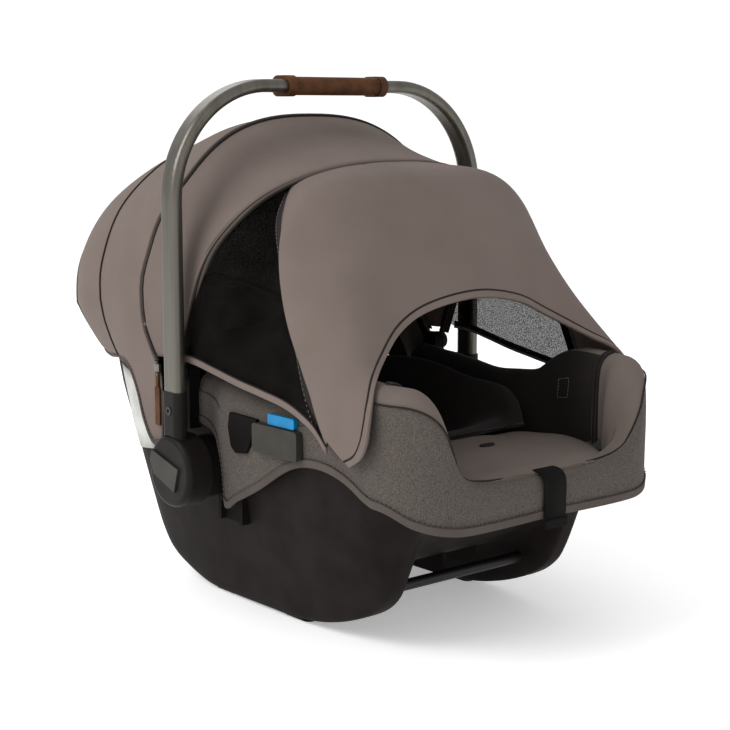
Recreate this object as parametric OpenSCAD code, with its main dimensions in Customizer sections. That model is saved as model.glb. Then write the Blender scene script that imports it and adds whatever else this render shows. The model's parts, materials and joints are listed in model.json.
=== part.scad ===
// Infant car seat with carry handle, folding canopy and rocker base.
// +X is the occupant's left, +Y the head end, +Z up; z = 0 is the floor under the rocker feet.

/* [Shell] */
// Half width of the shell at its rim
shell_half_w = 172; // [168:1:174]
// Height of the rim beside the seat
rim_z = 222; // [218:1:224]
// Thickness of the shell's wall
shell_wall = 5; // [4:0.5:5]
// Half distance between the rocker rails, centre to centre
rail_x = 117; // [112:1:120]

/* [Handle] */
// Height of the handle's pivot axis
handle_pivot_z = 160; // [155:1:165]
// Half distance between the handle's upright tubes
handle_half_w = 214; // [213.5:0.5:216]
// Height of the top bar's centreline
handle_top_z = 568; // [560:1:572]
// Centreline radius of the handle's upper corners
handle_corner_r = 120; // [100:1:130]
// Tube thickness across the plane of the handle's bend
tube_thick = 14; // [12:0.5:14]
// Tube width along the seat
tube_wide = 28; // [24:1:30]

/* [Canopy] */
// Distance of the canopy's pivot axis behind the handle's
canopy_pivot_y = 24; // [22:1:26]
// Height of the canopy's pivot axis
canopy_pivot_z = 262; // [258:1:265]
// Half width of the front bow
front_bow_half_w = 194; // [190:1:194.5]
// Height of the front bow's top
front_bow_top_z = 485; // [482:0.5:487]
// Half width of the fixed rear canopy
rear_canopy_half_w = 201.5; // [201:0.5:202]
// Height of the rear canopy's highest point
canopy_top_z = 536; // [534:1:538]

/* [Soft goods] */
// Half width of the seat cover's skirt
cover_half_w = 179; // [178.5:0.5:180]
// Distance of the cover's front face ahead of the handle
cover_front = 349; // [345:1:350]
// Plan radius of the cover's front corners
cover_corner_r = 64; // [55:1:70]

/* [Hidden] */

$fn = 48;
slack = 0.5;
crown = 0.8;

// ---- curves -------------------------------------------------------------------------------------

function mix(a, b, t) = a + (b - a) * t;
function total(list) = list * [for (item = list) 1];

// Slope of a smooth curve through [key, value] knots at knot i
function slope(knots, i) =
    let (before = knots[max(i - 1, 0)], after = knots[min(i + 1, len(knots) - 1)])
    (after[1] - before[1]) / (after[0] - before[0]);

// Value at key x of the smooth curve through the knots, held level past its ends
function along(x, knots, i = 0) =
    x <= knots[0][0] ? knots[0][1] :
    i == len(knots) - 1 ? knots[i][1] :
    x > knots[i + 1][0] ? along(x, knots, i + 1) :
    let (
        span = knots[i + 1][0] - knots[i][0],
        t = (x - knots[i][0]) / span,
        rise = span * slope(knots, i),
        rise_next = span * slope(knots, i + 1)
    )
    knots[i][1] * (2 * t * t * t - 3 * t * t + 1) + rise * (t * t * t - 2 * t * t + t)
    + knots[i + 1][1] * (3 * t * t - 2 * t * t * t) + rise_next * (t * t * t - t * t);

// Arch from its left foot over the top to its right foot, as [x, rise] pairs: straight legs, then
// a rounded top whose points are evenly spread in angle
function arch(half_w, foot, shoulder, top, power, legs, crown) = [
    for (i = [0 : legs - 1]) [-half_w, mix(foot, shoulder, i / legs)],
    for (i = [0 : crown])
        let (a = 180 - 180 * i / crown, c = cos(a), s = sin(a))
        [half_w * sign(c) * pow(abs(c), 2 / power), shoulder + (top - shoulder) * pow(abs(s), 2 / power)],
    for (i = [legs - 1 : -1 : 0]) [half_w, mix(foot, shoulder, i / legs)]
];

// ---- solids from points ---------------------------------------------------------------------------

function fan_volume(p, f) = total([
    for (i = [1 : len(f) - 2]) p[f[0]] * cross(p[f[i]], p[f[i + 1]])
]);

// Closed polyhedron whose faces are turned outwards whichever way they were listed
module closed_solid(points, faces) {
    outward = total([for (f = faces) fan_volume(points, f)]) < 0;
    polyhedron(points, outward ? faces : [for (f = faces) [for (i = [len(f) - 1 : -1 : 0]) f[i]]]);
}

function halves(quads) = [for (q = quads) each [[q[0], q[1], q[2]], [q[0], q[2], q[3]]]];

// Solid through a row of closed sections that all have the same number of points
module loft(sections) {
    rows = len(sections);
    cols = len(sections[0]);
    closed_solid(
        [for (s = sections) each s],
        concat(
            halves([
                for (r = [0 : rows - 2], c = [0 : cols - 1])
                    let (d = (c + 1) % cols)
                    [r * cols + c, r * cols + d, (r + 1) * cols + d, (r + 1) * cols + c]
            ]),
            [[for (c = [cols - 1 : -1 : 0]) c]],
            [[for (c = [0 : cols - 1]) (rows - 1) * cols + c]]
        )
    );
}

// Solid between an outer and an inner grid of points; closed_end caps the last row instead of
// leaving its arch open
module skin(outer, inner, closed_end = false) {
    rows = len(outer);
    cols = len(outer[0]);
    n = rows * cols;
    last = (rows - 1) * cols;
    walls = [
        for (r = [0 : rows - 2], c = [0 : cols - 2])
            let (a = r * cols + c)
            each [[a, a + 1, a + cols + 1, a + cols], [n + a, n + a + cols, n + a + cols + 1, n + a + 1]]
    ];
    first_edge = [for (c = [0 : cols - 2]) [c + 1, c, n + c, n + c + 1]];
    last_edge = [for (c = [0 : cols - 2]) [last + c, last + c + 1, n + last + c + 1, n + last + c]];
    left_edge = [for (r = [0 : rows - 2]) [r * cols, (r + 1) * cols, n + (r + 1) * cols, n + r * cols]];
    right_edge = [
        for (r = [0 : rows - 2])
            let (a = r * cols + cols - 1)
            [a + cols, a, n + a, n + a + cols]
    ];
    end = last + cols - 1;
    closed_solid(
        concat([for (r = outer) each r], [for (r = inner) each r]),
        closed_end
        ? concat(
            halves(concat(walls, first_edge, left_edge, right_edge, [[last, end, n + end, n + last]])),
            [[for (c = [0 : cols - 1]) last + c]],
            [[for (c = [cols - 1 : -1 : 0]) n + last + c]]
        )
        : halves(concat(walls, first_edge, last_edge, left_edge, right_edge))
    );
}

// Half-section list mirrored into a closed section; the half starts and ends on the mirror plane
function both_halves(half, y) = concat(
    [for (p = half) [p[0], y, p[1]]],
    [for (i = [len(half) - 2 : -1 : 1]) [-half[i][0], y, half[i][1]]]
);

// Box with its corners rounded in plan, from its lowest corner
module rounded_box(size, r) {
    translate([r, r, 0]) linear_extrude(size[2]) union() {
        translate([0, -r]) square([size[0] - 2 * r, size[1]]);
        translate([-r, 0]) square([size[0], size[1] - 2 * r]);
        for (x = [0, size[0] - 2 * r], y = [0, size[1] - 2 * r]) translate([x, y]) circle(r);
    }
}

module on_both_sides() {
    children();
    mirror([1, 0, 0]) children();
}

// Rod along X, centred
module rod_x(r, length) {
    rotate([0, 90, 0]) cylinder(r = r, h = length, center = true);
}

// ---- shell ----------------------------------------------------------------------------------------

shell_front = -343;
shell_rear = 316;
shell_y = [
    -343, -335, -322, -305, -288, -272, -256, -238, -212, -180, -140, -95, -40, 15, 60, 95, 122, 145,
    165, 182, 200, 218, 234, 248, 264, 282, 300, 316
];

function rim_half(y) = shell_half_w / 172 * along(y, [
    [-343, 92], [-335, 118], [-318, 140], [-290, 156], [-250, 166], [-190, 172], [-180, 172], [80, 172],
    [90, 172], [150, 167],
    [210, 153], [250, 137], [290, 108], [316, 68]
]);
function rim_height(y) = rim_z - 222 + along(y, [
    [-343, 168], [-320, 182], [-280, 206], [-230, 224], [-150, 222], [30, 222], [110, 240], [200, 270],
    [270, 304], [316, 330]
]);
// Lowest line of the rocker rails
function keel_height(y) = along(y, [
    [-343, 146], [-300, 138], [-279, 128], [-271, 111], [-257, 79], [-243, 53], [-210, 30], [-155, 11],
    [-100, 2.5], [-60, 2], [40, 2], [71, 5], [111, 17], [143, 32], [168, 60], [190, 108], [215, 142],
    [234, 172], [249, 226], [282, 272], [316, 318]
]);
// Underside of the shell between the rails
function belly_height(y) = max(keel_height(y) + 1, along(y, [
    [-343, 147], [-300, 139], [-272, 128], [-240, 104], [-200, 76], [-150, 58], [-60, 50], [60, 52],
    [120, 62], [165, 82], [190, 112], [215, 146], [234, 176], [249, 230], [282, 275], [316, 320]
]));
function floor_height(y) = min(mix(keel_height(y), rim_height(y), 0.5) - 2, along(y, [
    [-343, 155], [-300, 147], [-272, 136], [-240, 112], [-200, 83], [-150, 64], [-60, 55], [60, 57],
    [120, 70], [165, 98], [190, 132], [215, 164], [234, 196], [249, 240], [282, 286], [316, 322]
]));
function keel_half(y) = along(y, [
    [-343, 84], [-318, 112], [-290, 124], [-271, 128], [-240, 131], [-180, 134], [120, 134],
    [168, 130], [215, 124], [249, 112], [290, 88], [316, 60]
]);
// Inner side of the rocker rails
function rail_inner(y) = min(keel_half(y) - 24, along(y, [
    [-343, 70], [-290, 96], [-271, 104], [-240, 102], [-180, 99], [120, 99], [168, 97], [316, 48]
]));

// Half section of the shell at y, from the belly's middle round the rim to the floor's middle
function shell_half_section(y) =
    let (
        rim = rim_half(y), top = rim_height(y), keel = keel_height(y), low = keel_half(y),
        belly = belly_height(y), seat = floor_height(y), rail = rail_inner(y),
        middle = mix(keel, top, 0.5), waist = mix(low, rim, 0.74),
        hollow = min(seat - 1, keel + 2 * shell_wall), rail_slope = mix(rail, low, 0.25)
    )
    [
        [0, belly + crown], [rail - 6, belly], [rail, mix(belly, keel, 0.85)], [rail + 4, keel],
        [low - 7, keel], [low, keel + min(9, 0.12 * (top - keel))],
        [waist, middle], [mix(waist, rim, 0.75), mix(middle, top, 0.55)],
        [rim, top], [rim - shell_wall, top],
        [mix(waist, rim, 0.7) - shell_wall, mix(middle, top, 0.55)],
        [waist - shell_wall, mix(middle, seat, 0.1)],
        [low - shell_wall, mix(hollow, seat, 0.3)], [low - shell_wall - 4, hollow],
        [rail_slope + shell_wall, hollow], [rail - 8, seat], [0, seat - crown]
    ];

module seat_shell() {
    color("#2e2a29") loft([for (y = shell_y) both_halves(shell_half_section(y), y)]);
}

// ---- base hardware -----------------------------------------------------------------------------------

latch_bar_r = 6;
latch_bar_places = [[0, -205, 52], [0, 128, 42]];
foot_places = [[rail_x, -92], [rail_x, 38]];
foot_height = 1.6;

module rocker_feet() {
    color("#1b1b1b") on_both_sides() for (p = foot_places)
        translate([p[0] - 8, p[1] - 22, 0]) rounded_box([16, 44, foot_height], 7);
}

module latch_bars() {
    color("#8d9092") for (bar = latch_bar_places) translate(bar) rod_x(latch_bar_r, 2 * rail_x + 20);
}

// Sockets for stroller adapters, one on each side below the cover, as [front y, length]
socket_span = [-60, 44];

module adapter_sockets() {
    color("#151313") on_both_sides() difference() {
        translate([0, socket_span[0] + socket_span[1], 0]) rotate([90, 0, 0]) linear_extrude(socket_span[1])
            polygon([[160.4, 104], [162.6, 112.2], [165.4, 134], [171, 134], [171, 104]]);
        translate([165.8, socket_span[0] + 5, 103]) cube([6, socket_span[1] - 10, 22]);
    }
}

// ---- foam liner -----------------------------------------------------------------------------------------

liner_y = [for (y = shell_y) if (y > -310 && y < 305) y];
liner_gap = 1;
liner_thick = 13;

module foam_liner() {
    color("#3b3b3d") loft([
        for (y = liner_y)
            let (
                rim = rim_half(y) - shell_wall - liner_gap, top = rim_height(y) - 2, keel = keel_height(y),
                seat = floor_height(y) + liner_gap, low = min(rail_inner(y) - 10, rim - 40),
                middle = mix(seat, top, 0.55), t = min(liner_thick, 0.4 * (top - seat)),
                waist = mix(mix(keel_half(y), rim_half(y), 0.74) - shell_wall, rim, 0.3) - 5
            )
            both_halves([
                [0, seat + crown], [low, seat], [mix(low, waist, 0.6), mix(seat, middle, 0.35)], [waist, middle],
                [rim, top], [rim - t, top], [waist - t, middle + 3],
                [mix(low, waist, 0.6) - t, mix(seat, middle, 0.35) + 0.7 * t], [low - 8, seat + t], [0, seat + t - crown]
            ], y)
    ]);
}

// Steel plate under the shell that joins the shoulder straps to the adjuster strap
module splitter_plate() {
    color("#9a9c9e") translate([-22, 20, 46]) difference() {
        cube([44, 26, 2.5]);
        translate([8, 5, -1]) cube([28, 4, 5]);
        for (x = [4, 26]) translate([x, 16, -1]) cube([14, 4, 5]);
    }
}

// ---- cover ------------------------------------------------------------------------------------------------

// Path of the cover's outer skin in plan, as [x, y, inward normal x, inward normal y]
cover_start = -6;
corner_steps = 7;
corner_x = cover_half_w - cover_corner_r;
corner_y = cover_corner_r - cover_front;
side_ys = [cover_start, -22, -32, -37.5, -41, -62, -85, -110, -135, -160, -185, -210, -235, -260];
front_xs = [0.8, 0.6, 0.4, 0.2];
left_path = concat(
    [for (y = side_ys) [-cover_half_w, y, 1, 0]],
    [for (i = [0 : corner_steps])
        let (a = 90 * i / corner_steps)
        [-corner_x - cover_corner_r * cos(a), corner_y - cover_corner_r * sin(a), cos(a), sin(a)]],
    [for (f = front_xs) [-corner_x * f, -cover_front, 0, 1]]
);
cover_path = concat(
    left_path, [[0, -cover_front, 0, 1]],
    [for (i = [len(left_path) - 1 : -1 : 0])
        [-left_path[i][0], left_path[i][1], -left_path[i][2], left_path[i][3]]]
);

// Along the side the heights follow y; round the front they follow x
function cover_top(x, y) =
    y > corner_y ? along(-y, [[6, 262], [18, 252], [60, 238], [105, 230], [138, 245], [179, 256], [209, 276],
        [240, 286], [285, 285]])
    : along(-abs(x), [[-179, 285], [-165, 283], [-150, 274], [-138, 258], [-130, 234], [-118, 206],
        [-100, 193], [-60, 188], [0, 187]]);
function cover_hem(x, y) =
    y > corner_y ? along(-y, [
        [6, 204], [22, 194], [32, 180], [37.5, 150], [41, 124], [62, 133], [102, 153], [150, 181],
        [180, 191], [215, 192], [246, 185], [276, 171]])
    : along(-abs(x), [[-179, 169], [-165, 155], [-140, 147], [-100, 144], [0, 145]]);

module seat_cover() {
    color("#736962") loft([
        for (p = cover_path)
            let (
                x = p[0], y = p[1], top = cover_top(x, y), hem = cover_hem(x, y),
                rim = rim_height(max(y + 30 * p[3], shell_front)) + 3,
                lip = min(1, max(0, (top - 190) / 60)),
                wide = mix(30, 44, lip), low = mix(top - 12, top - 78, lip)
            )
            [for (s = [
                [0, hem], [0, mix(hem, top, 0.45)], [0.5, mix(hem, top, 0.8)], [4, top - mix(4, 9, lip)],
                [mix(10, 13, lip), top - mix(0.5, 2, lip)], [mix(16, 22, lip), top],
                [mix(23, 34, lip), top - 3], [wide - 2, top - 11],
                [wide, low], [wide - 4, low], [mix(27, 32, lip), min(rim, top - 5)], [5, min(rim, top - 5)],
                [4, hem]
            ]) [x + p[2] * s[0], y + p[3] * s[0], s[1]]]
    ]);
}

// ---- cushions ----------------------------------------------------------------------------------------------

// Puffed solid through oval sections: each row gives [y, low z, high z, half width, x centre]
module cushion(rows, power, steps = 20) {
    loft([
        for (row = rows)
            let (mid = (row[1] + row[2]) / 2, half = (row[2] - row[1]) / 2)
            [for (i = [0 : steps - 1])
                let (a = 360 * i / steps, c = cos(a), s = sin(a))
                [row[4] + row[3] * sign(c) * pow(abs(c), 2 / power), row[0],
                    mid + half * sign(s) * pow(abs(s), 2 / power)]]
    ]);
}

// The pad has a pocket underneath for the strap adjuster, a groove for its strap and a slot above its button
module seat_pad() {
    color("#7d726c") difference() {
        cushion([
            [-312, 176, 184, 60, 0], [-304, 166, 189, 84, 0], [-285, 158, 189, 96, 0], [-250, 140, 184, 104, 0],
            [-205, 112, 174, 112, 0], [-160, 94, 162, 116, 0], [-110, 84, 146, 116, 0], [-60, 80, 132, 114, 0],
            [-10, 80, 122, 108, 0], [25, 82, 116, 96, 0], [40, 88, 108, 76, 0]
        ], 3.2);
        translate(adjuster_place) translate([-23, -6, -30]) cube([46, 28, 41]);
        translate(adjuster_place) translate([-17, -30, -12]) cube([34, 30, 22.5]);
        translate(adjuster_place) translate([-11, 1, 0]) cube([22, 16, 60]);
    }
}

// Newborn insert: a U-shaped lining that reclines against the back of the shell
module body_insert() {
    color("#171514") loft([
        for (y = [52, 70, 95, 120, 145, 168, 188, 206])
            let (
                seat = floor_height(y) + liner_thick + 6, side = along(y, [[52, 108], [120, 112], [206, 96]]),
                top = along(y, [[52, 196], [95, 222], [150, 240], [206, 262]])
            )
            both_halves([
                [0, seat], [side - 34, seat + 2], [side - 8, seat + 30], [side, mix(seat, top, 0.6)],
                [side - 2, top - 8], [side - 14, top], [side - 28, top - 8], [side - 32, mix(seat, top, 0.5)],
                [side - 44, seat + 34], [side - 62, seat + 22], [0, seat + 20]
            ], y)
    ]);
}

module head_support() {
    color("#1a1817") loft([
        for (y = [212, 232, 256, 278])
            let (
                seat = floor_height(y) + liner_thick + 7, side = along(y, [[212, 94], [278, 74]]),
                top = along(y, [[212, 282], [250, 306], [278, 322]])
            )
            both_halves([
                [0, seat], [side - 20, seat + 4], [side, mix(seat, top, 0.5)], [side - 6, top],
                [side - 22, top - 4], [side - 34, seat + 26], [0, seat + 18]
            ], y)
    ]);
}

// ---- harness -------------------------------------------------------------------------------------------------

strap_wide = 38;
strap_thick = 1.6;
strap_x = 34;

// Flat webbing in the Y-Z plane through a list of [y, z] points, strap_thick deep
module webbing(route, wide, x = 0) {
    last = len(route) - 1;
    loft([
        for (i = [0 : last])
            let (
                a = route[max(i - 1, 0)], b = route[min(i + 1, last)], d = (b - a) / norm(b - a),
                across = [-d[1], d[0]] * strap_thick / 2, p = route[i]
            )
            [[x - wide / 2, p[0] - across[0], p[1] - across[1]], [x + wide / 2, p[0] - across[0], p[1] - across[1]],
                [x + wide / 2, p[0] + across[0], p[1] + across[1]], [x - wide / 2, p[0] + across[0], p[1] + across[1]]]
    ]);
}

shoulder_route = [[206, 246], [192, 232], [160, 190], [128, 158], [95, 136], [60, 130], [20, 136], [-6, 142]];

module harness_straps() {
    color("#101010") for (x = [-strap_x, strap_x]) webbing(shoulder_route, strap_wide, x);
}

module shoulder_pads() {
    color("#161413") for (x = [-strap_x, strap_x]) shoulder_pad(x);
}

// Sleeve pad lying over one shoulder strap
module shoulder_pad(x) {
    pad = [[188, 233], [160, 196], [128, 164], [100, 146]];
    loft([
        for (i = [0 : len(pad) - 1])
            let (p = pad[i], up = [-0.72, 0.72] * 2.5, thick = [-0.72, 0.72] * (i == 0 || i == 3 ? 4 : 9))
            [[x - 26, p[0] + up[0], p[1] + up[1]], [x + 26, p[0] + up[0], p[1] + up[1]],
                [x + 22, p[0] + up[0] + thick[0], p[1] + up[1] + thick[1]],
                [x - 22, p[0] + up[0] + thick[0], p[1] + up[1] + thick[1]]]
    ]);
}

chest_clip_place = [0, 74, 146];

module chest_clip() {
    color("#1c1c1c") translate(chest_clip_place) rotate([14, 0, 0]) difference() {
        translate([-52, -19, -7]) cube([104, 38, 11]);
        for (x = [-strap_x, strap_x]) translate([x - 17.5, -20, -12]) cube([35, 40, 9]);
    }
}

buckle_place = [0, -42, 146];

module crotch_strap() {
    color("#101010") webbing([[-74, 138], [-67, 141.5], [-60, 145], [-52, 147]], strap_wide - 6);
}

module buckle_housing() {
    color("#1b1b1b") translate(buckle_place) difference() {
        translate([-26, -8, -6]) rounded_box([52, 40, 18], 8);
        translate([-14, 2, 5]) cube([28, 18, 12]);
    }
}

module buckle_button() {
    color("#a3211d") translate(buckle_place) translate([-13.5, 2.5, 6.6]) cube([27, 17, 6.4]);
}

adjuster_route = [
    [-268.5, 149], [-274, 152], [-285, 156.8], [-305, 164.2], [-312, 168.5], [-316, 177.5], [-323, 184],
    [-331, 188.8], [-343, 189], [-350.5, 185], [-353.2, 178], [-353.2, 156], [-353.2, 134]
];

module adjuster_strap() {
    color("#111111") webbing(adjuster_route, 30);
}

adjuster_place = [0, -262, 149];

module adjuster_housing() {
    color("#1a1a1a") translate(adjuster_place) difference() {
        translate([-21, -4, -2]) cube([42, 24, 9]);
        translate([-9, 3, 3]) cube([18, 12, 8]);
    }
}

module adjuster_button() {
    color("#55565a") translate(adjuster_place) translate([-8.5, 3.5, 4.6]) cube([17, 11, 4.4]);
}

// ---- belt guides ------------------------------------------------------------------------------------------------

guide_x = cover_half_w + slack;

module belt_guide() {
    translate([guide_x, -178, 195]) rotate([90, 0, 90]) rounded_box([75, 30, 9], 4);
}

module belt_guide_left() {
    color("#4c4c47") mirror([1, 0, 0]) belt_guide();
}

module belt_guide_right() {
    color("#4c4c47") belt_guide();
}

module guide_markers() {
    color("#0a93d0") on_both_sides() translate([guide_x, -169, 226]) rotate([90, 0, 90]) rounded_box([44, 11, 5], 2);
}

module guide_flaps() {
    color("#1d1a1a") on_both_sides() translate([guide_x, 0, 0]) rotate([90, 0, 90])
        linear_extrude(4) polygon([
            [-56, 228], [-104, 227], [-98, 214], [-90, 196], [-84, 188], [-66, 186], [-58, 192], [-53, 212]
        ]);
}

// ---- base release ---------------------------------------------------------------------------------------------------

release_place = [0, 262, 214];

module release_bracket() {
    color("#242121") translate(release_place) difference() {
        translate([-56, -8, -18]) cube([112, 20, 37]);
        translate([-50.5, -9, -12]) cube([101, 30, 40]);
    }
}

module release_handle() {
    color("#55565a") translate(release_place) difference() {
        translate([-49.5, 1, -11.5]) cube([99, 11, 22]);
        translate([-40, 0, -4]) cube([80, 14, 30]);
    }
}

// ---- handle -----------------------------------------------------------------------------------------------------------

hub_r = 39;
hub_inner_x = 193.5;
hub_outer_x = 224;
boss_r = 34;
boss_inner_x = 172.6;
pin_r = 9;
pin_clearance = 0.05;
sleeve_top_z = 246;
corner_x_handle = handle_half_w - handle_corner_r;
corner_z_handle = handle_top_z - handle_corner_r;

// Rounded tube section; grow adds the same amount on every side
module tube_section(grow = 0) {
    r = 6.5 + grow;
    x = tube_thick / 2 + grow - r;
    y = tube_wide / 2 + grow - r;
    square([2 * x, 2 * (y + r)], center = true);
    square([2 * (x + r), 2 * y], center = true);
    for (i = [-x, x], j = [-y, y]) translate([i, j]) circle(r);
}

// Section swept round a handle corner in the X-Z plane
module handle_corner(grow = 0) {
    translate([corner_x_handle, 0, corner_z_handle]) rotate([90, 0, 0])
        rotate_extrude(angle = 90, $fn = 96) translate([handle_corner_r, 0]) tube_section(grow);
}

module top_bar(half_length, grow = 0) {
    translate([-half_length, 0, handle_top_z]) rotate([0, 90, 0])
        linear_extrude(2 * half_length) tube_section(grow);
}

module handle_tube() {
    color("#5f6059") union() {
        top_bar(corner_x_handle);
        on_both_sides() {
            handle_corner();
            translate([handle_half_w, 0, sleeve_top_z - 24]) linear_extrude(corner_z_handle - sleeve_top_z + 24)
                tube_section();
        }
    }
}

grip_half = 67;

module handle_grip() {
    color("#6b4226") difference() {
        union() {
            top_bar(grip_half, 3);
            for (x = [-grip_half - 2, grip_half - 8])
                translate([x, 0, handle_top_z]) rotate([0, 90, 0]) linear_extrude(10) tube_section(4.5);
        }
        top_bar(grip_half + 10, 0.05);
    }
}

// Plastic sleeve between the hub and the tube, with a blind socket for the tube
module handle_sleeves() {
    color("#262424") on_both_sides() difference() {
        translate([handle_half_w, 0, handle_pivot_z + hub_r - 4])
            linear_extrude(sleeve_top_z - handle_pivot_z - hub_r + 4) tube_section(1.5);
        translate([handle_half_w, 0, sleeve_top_z - 24.2]) linear_extrude(30) tube_section(0.05);
        translate([handle_half_w + 6.9, 0, 226]) rotate([0, 90, 0]) cylinder(r = 5.05, h = 6);
        translate([0, 0, handle_pivot_z]) rod_x(hub_r + 0.05, 600);
    }
}

module sleeve_screws() {
    color("#3a3a3a") on_both_sides() translate([handle_half_w + 7.1, 0, 226]) rotate([0, 90, 0]) difference() {
        cylinder(r = 5, h = 2.2);
        translate([0, 0, 1]) cylinder(r = 2, h = 3, $fn = 6);
    }
}

// Release button outline in the Y-Z plane of the hub's outer face
button_outline = [[29, 20], [-21, 6], [-13, -20], [26, -6], [33.5, 9]];
button_travel = 5;
button_in_x = 214;
button_out_x = 226.5;

module button_prism(x, depth, grow = 0) {
    translate([x, 0, handle_pivot_z]) rotate([90, 0, 90]) linear_extrude(depth)
        polygon([for (p = button_outline)
            let (q = p - [2, 2], d = norm(q)) [2, 2] + q * (d + grow) / d]);
}

module handle_hub() {
    difference() {
        union() {
            translate([hub_inner_x, 0, handle_pivot_z]) rotate([0, 90, 0])
                cylinder(r = hub_r, h = hub_outer_x - hub_inner_x - 6, $fn = 96);
            translate([hub_outer_x - 6, 0, handle_pivot_z]) rotate([0, 90, 0])
                rotate_extrude($fn = 96) union() {
                    square([hub_r - 6, 6]);
                    translate([hub_r - 6, 0]) intersection() {
                        circle(6);
                        square(7);
                    }
                }
        }
        translate([hub_inner_x - 1, 0, handle_pivot_z]) rotate([0, 90, 0])
            cylinder(r = pin_r + pin_clearance, h = 14);
        button_prism(button_in_x - button_travel - 2.5, 30, 1);
    }
}

module handle_hub_left() {
    color("#1f1d1d") mirror([1, 0, 0]) handle_hub();
}

module handle_hub_right() {
    color("#1f1d1d") handle_hub();
}

module handle_button_left() {
    color("#5b5c55") mirror([1, 0, 0]) button_prism(button_in_x, button_out_x - button_in_x);
}

module handle_button_right() {
    color("#5b5c55") button_prism(button_in_x, button_out_x - button_in_x);
}

// Compression springs in the pocket behind each button
module button_springs() {
    color("#b5b8ba") on_both_sides() translate([button_in_x - button_travel - 2.4, 4, handle_pivot_z + 4])
        rotate([0, 90, 0]) difference() {
            cylinder(r = 5, h = 7.3);
            translate([0, 0, -1]) cylinder(r = 3.8, h = 10);
        }
}

module handle_boss() {
    translate([boss_inner_x, 0, handle_pivot_z]) rotate([0, 90, 0])
        cylinder(r = boss_r, h = hub_inner_x - boss_inner_x - 0.4, $fn = 96);
    translate([boss_inner_x, 0, handle_pivot_z]) rotate([0, 90, 0])
        cylinder(r = pin_r, h = hub_inner_x - boss_inner_x + 12);
}

module handle_boss_left() {
    color("#171515") mirror([1, 0, 0]) handle_boss();
}

module handle_boss_right() {
    color("#171515") handle_boss();
}

// ---- canopy -------------------------------------------------------------------------------------------------------------

bow_r = 3;
canopy_pin_r = 5;
front_bow_shoulder_z = 340;
front_bow_power = 2.6;
bow_foot_r = 10;

// The front bow's legs lean forward less than its top
function bow_y(z) = along(z, [
    [262, 24], [330, -2], [362, -16], [395, -33], [426, -54], [452, -72], [470, -88], [485, -104]
]);
function bow_x(z) = front_bow_half_w * pow(
    1 - pow(max(z - front_bow_shoulder_z, 0) / (front_bow_top_z - front_bow_shoulder_z), front_bow_power),
    1 / front_bow_power);
function front_arch(grow, foot_z, legs = 4) = [
    for (p = arch(front_bow_half_w + grow, foot_z, front_bow_shoulder_z, front_bow_top_z + grow,
        front_bow_power, legs, 20))
        [p[0], bow_y(p[1]), p[1]]
];

// Round rod through a list of points
module rod_through(route, r, sides = 8) {
    last = len(route) - 1;
    loft([
        for (i = [0 : last])
            let (
                ahead = route[min(i + 1, last)] - route[max(i - 1, 0)], d = ahead / norm(ahead),
                side = cross(d, [0, 0.87, 0.49]), u = side / norm(side),
                v = cross(d, u)
            )
            [for (k = [0 : sides - 1]) route[i] + r * (cos(360 * k / sides) * u + sin(360 * k / sides) * v)]
    ]);
}

module canopy_mount() {
    translate([172.6, canopy_pivot_y - 11, 200]) cube([14.4, 22, canopy_pivot_z - 200]);
    translate([172.6, canopy_pivot_y, canopy_pivot_z]) rotate([0, 90, 0]) cylinder(r = 11, h = 14.4);
    translate([172.6, canopy_pivot_y, canopy_pivot_z]) rotate([0, 90, 0])
        cylinder(r = canopy_pin_r, h = 23.4);
}

module canopy_mounts() {
    color("#181616") on_both_sides() canopy_mount();
}

module front_bow() {
    color("#2a2827") {
        rod_through(front_arch(-bow_r, canopy_pivot_z + 7), bow_r);
        on_both_sides() difference() {
            translate([188, canopy_pivot_y, canopy_pivot_z]) rotate([0, 90, 0]) cylinder(r = bow_foot_r, h = 6);
            translate([187, canopy_pivot_y, canopy_pivot_z]) rotate([0, 90, 0])
                cylinder(r = canopy_pin_r + pin_clearance, h = 9);
        }
    }
}

// Arch of the rear canopy's front edge, where the zip and the middle bow run
mid_shoulder_z = 330;
mid_power = 2.5;
mid_foot_z = 262;
function mid_y(z) = along(z, [
    [178, 46], [257, 47], [285, 66], [310, 80], [354, 84], [391, 73], [430, 62], [473, 41], [536, 40]
]);
function mid_arch(inset, foot, legs = 5, crown = 20) = [
    for (p = arch(rear_canopy_half_w - inset, foot, mid_shoulder_z, canopy_top_z - inset, mid_power, legs, crown))
        [p[0], mid_y(p[1]), p[1]]
];

module mid_bow() {
    color("#2a2827") {
        a = mid_arch(2.8, mid_foot_z);
        b = mid_arch(4.2, mid_foot_z);
        skin([for (dy = [3, 13]) [for (p = a) p + [0, dy, 0]]], [for (dy = [3, 13]) [for (p = b) p + [0, dy, 0]]]);
    }
}

// Rear canopy rows: [share of the way from the middle bow to the back, half width, top, hem, shoulder,
// half width at the hem], widths as shares of the canopy's
rear_end_y = 349;
rear_rows = [
    [0, 1, 536, 180, 330, 1], [0.1, 1, 533, 178, 330, 1], [0.17, 1, 528, 192, 330, 1],
    [0.23, 0.995, 523, 244, 330, 0.985], [0.32, 0.99, 515, 253, 328, 0.95], [0.42, 0.98, 504, 249, 328, 0.88],
    [0.55, 0.95, 484, 241, 322, 0.78], [0.68, 0.89, 458, 246, 316, 0.71], [0.8, 0.80, 426, 256, 310, 0.6],
    [0.9, 0.66, 389, 270, 306, 0.46], [0.96, 0.5, 360, 284, 308, 0.36], [1, 0.3, 336, 298, 312, 0.24]
];

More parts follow.
